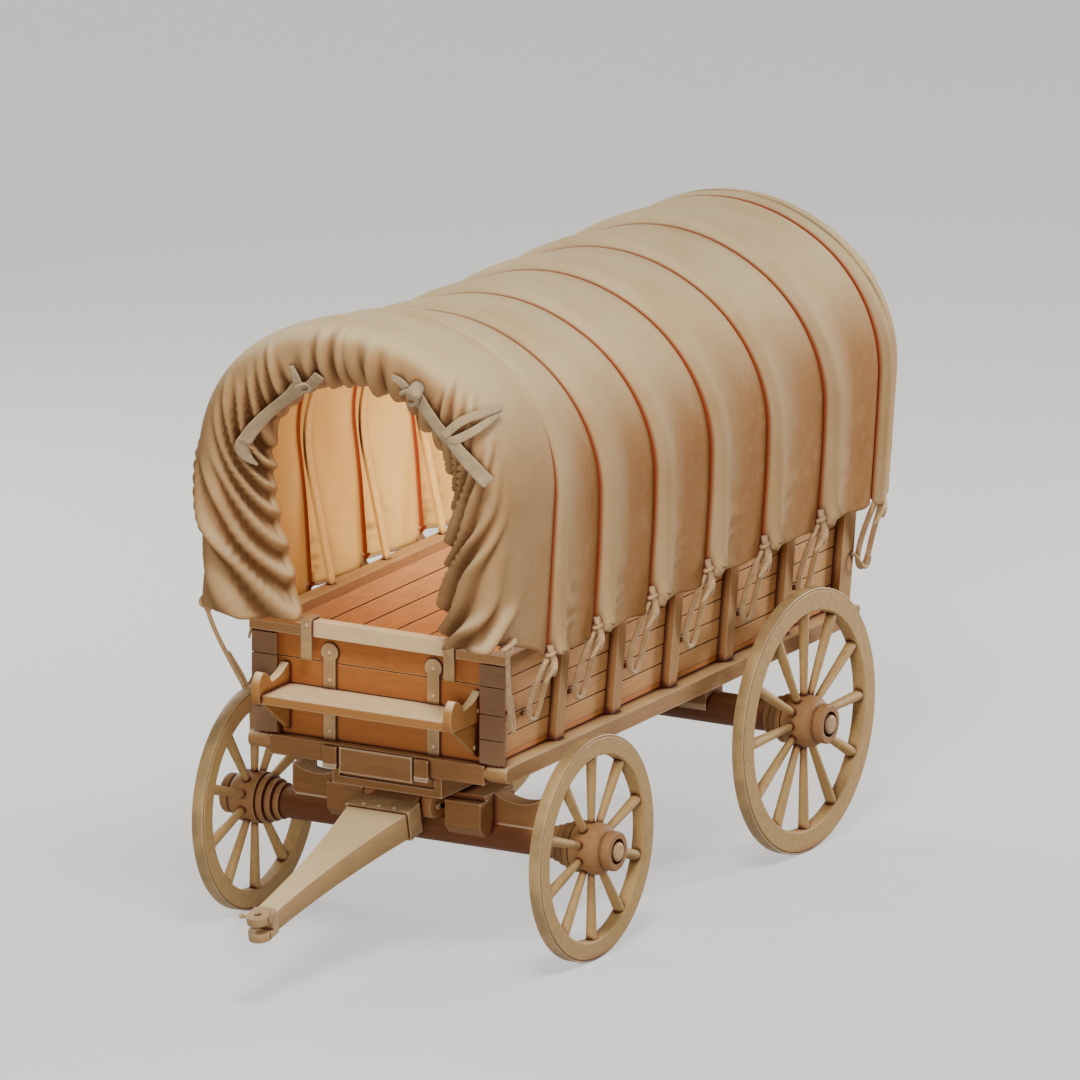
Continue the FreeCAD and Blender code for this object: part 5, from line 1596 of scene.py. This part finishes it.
# ---------------------------------------------------------------------------
# Stage
# ---------------------------------------------------------------------------
@dataclass
class Studio:
    """Pale floor and sky, soft lamps and the camera."""

    # The camera: the point it looks at, its angles in degrees, its distance and its lens.
    aim: Point = (-0.158, 0.5935, 1.622)
    azimuth: float = 29.77
    elevation: float = 15.16
    distance: float = 220.0
    lens: float = 1503.0
    clip_end: float = 500.0
    # The floor as the camera sees it, the pale tone behind it, and what it throws back on the wagon.
    floor_size: float = 120.0
    floor_seen: Colour = (0.40, 0.395, 0.385)
    pale: Colour = (0.80, 0.79, 0.77)
    glow: float = 0.78
    floor_bounce: Colour = (0.26, 0.24, 0.21)
    sky_colour: Colour = (1.0, 0.985, 0.96)
    sky_strength: float = 0.36
    # Soft lamps outside: name, place, size and power. All look at one point.
    outside: tuple = (("key_lamp", (3.4, -5.4, 10.8), 2.8, 980.0),
                      ("door_lamp", (4.4, -10.6, 3.2), 2.2, 560.0),
                      ("back_lamp", (5.2, 9.4, 3.2), 2.4, 900.0),
                      ("fill_lamp", (-8.4, 4.2, 5.2), 3.2, 620.0))
    lamp_aim: Point = (0, 0.2, 1.4)
    # The soft lamp under the canvas.
    inside_place: Point = (0.0, 0.35, 2.0)
    inside_radius: float = 0.35
    inside_power: float = 32.0

    def floor(self) -> None:
        """Lay a wide floor that looks pale and throws little light on the wagon."""
        deselect()
        bpy.ops.mesh.primitive_plane_add(size=self.floor_size, location=(0, 0, 0))
        ground = bpy.context.object
        ground.name = "studio_floor"
        tree = Nodes("studio_floor")
        tree.surface.inputs["Roughness"].default_value = 0.9
        rays = tree.add("ShaderNodeLightPath")
        seen = rays.outputs["Is Camera Ray"]
        for label in ("Is Glossy Ray", "Is Transmission Ray"):
            either = tree.add("ShaderNodeMath", operation="MAXIMUM")
            tree.wire(seen, either.inputs[0])
            tree.wire(rays.outputs[label], either.inputs[1])
            seen = either.outputs[0]
        tree.wire(tree.blend(seen, self.floor_bounce, self.floor_seen), tree.surface.inputs["Base Color"])
        tree.surface.inputs["Emission Color"].default_value = (*self.pale, 1.0)
        tree.wire(tree.span(seen, 0.0, 1.0, 0.0, self.glow), tree.surface.inputs["Emission Strength"])
        ground.data.materials.append(tree.material)

    def sky(self) -> None:
        """Light the wagon from an even sky, and show the camera a pale wall in its place."""
        world = bpy.data.worlds.new("studio_sky")
        world.use_nodes = True
        tree = world.node_tree
        sky = tree.nodes["Background"]
        sky.inputs["Color"].default_value = (*self.sky_colour, 1.0)
        sky.inputs["Strength"].default_value = self.sky_strength
        wall = tree.nodes.new("ShaderNodeBackground")
        wall.inputs["Color"].default_value = (*self.pale, 1.0)
        rays = tree.nodes.new("ShaderNodeLightPath")
        choice = tree.nodes.new("ShaderNodeMixShader")
        tree.links.new(rays.outputs["Is Camera Ray"], choice.inputs["Fac"])
        tree.links.new(sky.outputs["Background"], choice.inputs[1])
        tree.links.new(wall.outputs["Background"], choice.inputs[2])
        tree.links.new(choice.outputs["Shader"], tree.nodes["World Output"].inputs["Surface"])
        bpy.context.scene.world = world

    def lamps(self) -> None:
        """Hang four large soft lamps outside, and one soft lamp under the canvas."""
        for name, place, size, power in self.outside:
            lamp = bpy.data.lights.new(name, "AREA")
            lamp.energy = power
            lamp.size = size
            holder = add_object(name, lamp)
            way = Vector(self.lamp_aim) - Vector(place)
            holder.location = place
            holder.rotation_euler = way.to_track_quat("-Z", "Y").to_euler()
        inside = bpy.data.lights.new("inside_lamp", "POINT")
        inside.energy = self.inside_power
        inside.shadow_soft_size = self.inside_radius
        holder = add_object("inside_lamp", inside)
        holder.location = self.inside_place
        holder.visible_camera = False

    def camera(self) -> None:
        """Stand the camera far off at the viewing angle."""
        turn, tilt = math.radians(self.azimuth), math.radians(self.elevation)
        back = Vector((math.sin(turn) * math.cos(tilt), -math.cos(turn) * math.cos(tilt), math.sin(tilt)))
        view = bpy.data.cameras.new("camera")
        view.lens = self.lens
        view.clip_end = self.clip_end
        holder = add_object("camera", view)
        holder.location = Vector(self.aim) + back * self.distance
        holder.rotation_euler = (-back).to_track_quat("-Z", "Y").to_euler()
        bpy.context.scene.camera = holder


# ---------------------------------------------------------------------------
# Frame dressing
# ---------------------------------------------------------------------------
@dataclass
class FrameDress:
    """Finishes and softened edges for the frame's own pieces."""

    nodes: dict
    edge: float = 0.0035
    edge_angle: float = 38.0
    weld: float = 0.00002
    # Each finish and the words in a node's name that call for it. The first match holds.
    words: tuple = (
        ("worn_iron", ("drawbar_band", "drawbar_pin", "king_pin", "seat_bar_hooks", "axle_nuts", "plate",
                       "hitch", "strap", "hinges", "cleats")),
        ("side_plank", ("side_boards",)),
        ("end_plank", ("front_boards", "tailgate_boards")),
        ("floor_plank", ("floor_boards",)),
        ("post_timber", ("side_posts",)),
        ("cross_timber", ("front_axle_bed", "cross_sills", "front_bolster", "rear_bolster", "sand_board",
                          "axle_saddles")),
        ("pale_timber", ("seat_bar",)),
        ("foot_timber", ("footboard",)),
        ("drawbar_timber", ("drawbar",)),
        ("wheel_timber", ("_felloes", "_spokes")),
        ("hub_timber", ("_hub",)),
        ("axle_timber", ("front_axle", "rear_axle")),
        ("bow_timber", ("bows",)),
        ("tyre_iron", ("_tyre",)))

    def finish_for(self, name: str) -> str:
        """Return the name of the finish that a node takes.

        Args:
            name: of the node.

        Returns:
            The finish of the first match, or long timber for the rails, side sills, pole and hounds.
        """
        for finish, words in self.words:
            if any(word in name for word in words):
                return finish
        return "long_timber"

    def dress(self, finishes: dict[str, bpy.types.Material]) -> None:
        """Give each piece of the frame its finish and a small round on its edges.

        Args:
            finishes: the materials by name.
        """
        for name, piece in self.nodes.items():
            finish = finishes[self.finish_for(name)]
            if not piece.material_slots:
                piece.data.materials.append(finish)
            for holder in piece.material_slots:
                holder.material = finish
            weld = piece.modifiers.new("weld", "WELD")
            weld.merge_threshold = self.weld
            bevel = piece.modifiers.new("edge", "BEVEL")
            bevel.width = self.edge
            bevel.segments = 2
            bevel.limit_method = "ANGLE"
            bevel.angle_limit = math.radians(self.edge_angle)
            bevel.harden_normals = False


def finishes() -> dict[str, bpy.types.Material]:
    """Build every finish of the wagon, by name.

    Returns:
        The materials, by the name of the finish.
    """
    made = [
        WoodFinish("side_plank", linear(204, 150, 92), pale=linear(222, 182, 130), line=0.012, side_shade=0.0),
        # Painted shade: the front boards are a darker copy of the side boards' timber, for the shade on the
        # wagon's front.
        WoodFinish("end_plank", linear(162, 98, 44), grain=Grain.ACROSS, pale=linear(214, 166, 112),
                   line=0.020, side_shade=0.0),
        # Painted light: the floor boards are painted brighter against the shade under the canvas.
        WoodFinish("floor_plank", linear(226, 146, 70), pale=linear(226, 160, 90), line=0.008, side_shade=0.0),
        WoodFinish("post_timber", linear(194, 152, 100), grain=Grain.UPRIGHT, line=0.042, side_shade=0.4),
        # Painted shade: the cladding on the post fronts is painted darker, for the shade on the wagon's
        # front.
        WoodFinish("clad_timber", linear(134, 92, 52), grain=Grain.ACROSS, line=0.016, worn_highlight=0.12),
        WoodFinish("long_timber", linear(202, 168, 118)),
        WoodFinish("cross_timber", linear(172, 134, 88), grain=Grain.ACROSS),
        WoodFinish("pale_timber", linear(240, 210, 162), grain=Grain.ACROSS, side_shade=0.3),
        WoodFinish("foot_timber", linear(236, 206, 156), grain=Grain.ACROSS, side_shade=1.0),
        WoodFinish("drawbar_timber", linear(208, 180, 132), side_shade=0.6),
        WoodFinish("wheel_timber", linear(178, 142, 90), grain=Grain.EVEN, line=0.042, side_shade=0.0),
        WoodFinish("hub_timber", linear(150, 108, 66), grain=Grain.ACROSS, line=0.034, side_shade=0.0),
        WoodFinish("axle_timber", linear(128, 82, 46), grain=Grain.ACROSS),
        WoodFinish("bow_timber", linear(240, 192, 104), grain=Grain.EVEN, pale=linear(240, 194, 110),
                   side_shade=0.0),
        IronFinish("worn_iron", linear(188, 150, 102)),
        IronFinish("tyre_iron", linear(178, 144, 94)),
        # The canvas: its flank colour is painted shade on the sides, its inner colour painted light through
        # the cloth, and its fold, crease and deep colours painted shade.
        ClothFinish("canvas", body=linear(210, 186, 142), flank=linear(156, 110, 60),
                    lit_lining=linear(246, 204, 116), dusty=linear(232, 208, 168), fold=linear(98, 58, 28),
                    crease=linear(150, 54, 16), deep=linear(70, 26, 10)),
        StrapFinish("strap_webbing", linear(186, 160, 120), linear(92, 48, 28)),
        StrapFinish("tie_rope", linear(208, 172, 122), linear(128, 56, 26)),
    ]
    return {finish.name: finish.make() for finish in made}


def rivet_lines() -> dict[str, list[tuple]]:
    """List where the rivet heads stand.

    Returns:
        By piece, for each head its node, the start of the line that finds it and its direction.
    """
    back, down = (0, 1, 0), (0, 0, -1)
    wagon, bar, gate = [], [], []
    for side in (-1, 1):
        for height in (1.075, 1.330, 1.468):
            wagon.append(("front_strap_irons", (side * 0.290, -2.0, height), back))
        for height in (1.110, 1.300):
            wagon.append(("footboard_brackets", (side * 1.0, -1.262, height), (-side, 0, 0)))
        wagon.append(("seat_bar_hooks", (side * 0.396, -2.0, 1.600), back))
        for height in (1.110, 1.290, 1.450):
            gate.append(("tailgate_straps", (side * 0.370, 3.0, height), (0, -1, 0)))
    for x in (-0.085, 0.0, 0.085):
        bar.append(("drawbar_band", (x, -1.255, 1.5), down))
    return {"wagon_rivets": wagon, "drawbar_rivets": bar, "tailgate_rivets": gate}


def put(piece: bpy.types.Object, body: str, finish: bpy.types.Material) -> None:
    """Give a piece its finish and its body, and report it.

    Args:
        piece: the finished piece.
        body: the body it rides on.
        finish: its material.
    """
    piece.data.materials.clear()
    piece.data.materials.append(finish)
    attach(piece, body)
    LOG.info("%s: %d triangles", piece.name, sum(len(face.vertices) - 2 for face in piece.data.polygons))


def main() -> None:
    """Build the wagon's looks in order and report each piece."""
    logging.basicConfig(level=logging.INFO, format="%(message)s")
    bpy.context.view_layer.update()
    studio = Studio()
    studio.camera()
    studio.floor()
    studio.sky()
    studio.lamps()
    materials = finishes()
    FrameDress(frame["nodes"]).dress(materials)
    top = CanvasTop()
    sheet = top.build()
    put(sheet, "wagon", materials["canvas"])
    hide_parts("canvas_cover")
    put(DrawStraps(top).build(), "wagon", materials["strap_webbing"])
    put(SideTies(top).build(), "wagon", materials["tie_rope"])
    for name, piece in EndTies().build().items():
        iron = name == "corner_hooks"
        put(piece, "wagon", materials["worn_iron" if iron else "tie_rope"])
    for name, piece in FrontTrim().build().items():
        put(piece, "wagon", materials["clad_timber" if "post" in name else "cross_timber"])
    rivets = Rivets(frame["nodes"])
    for (name, lines), body in zip(rivet_lines().items(), ("wagon", "drawbar", "tailgate")):
        put(rivets.build(name, lines), body, materials["worn_iron"])


if __name__ == "__main__":
    main()
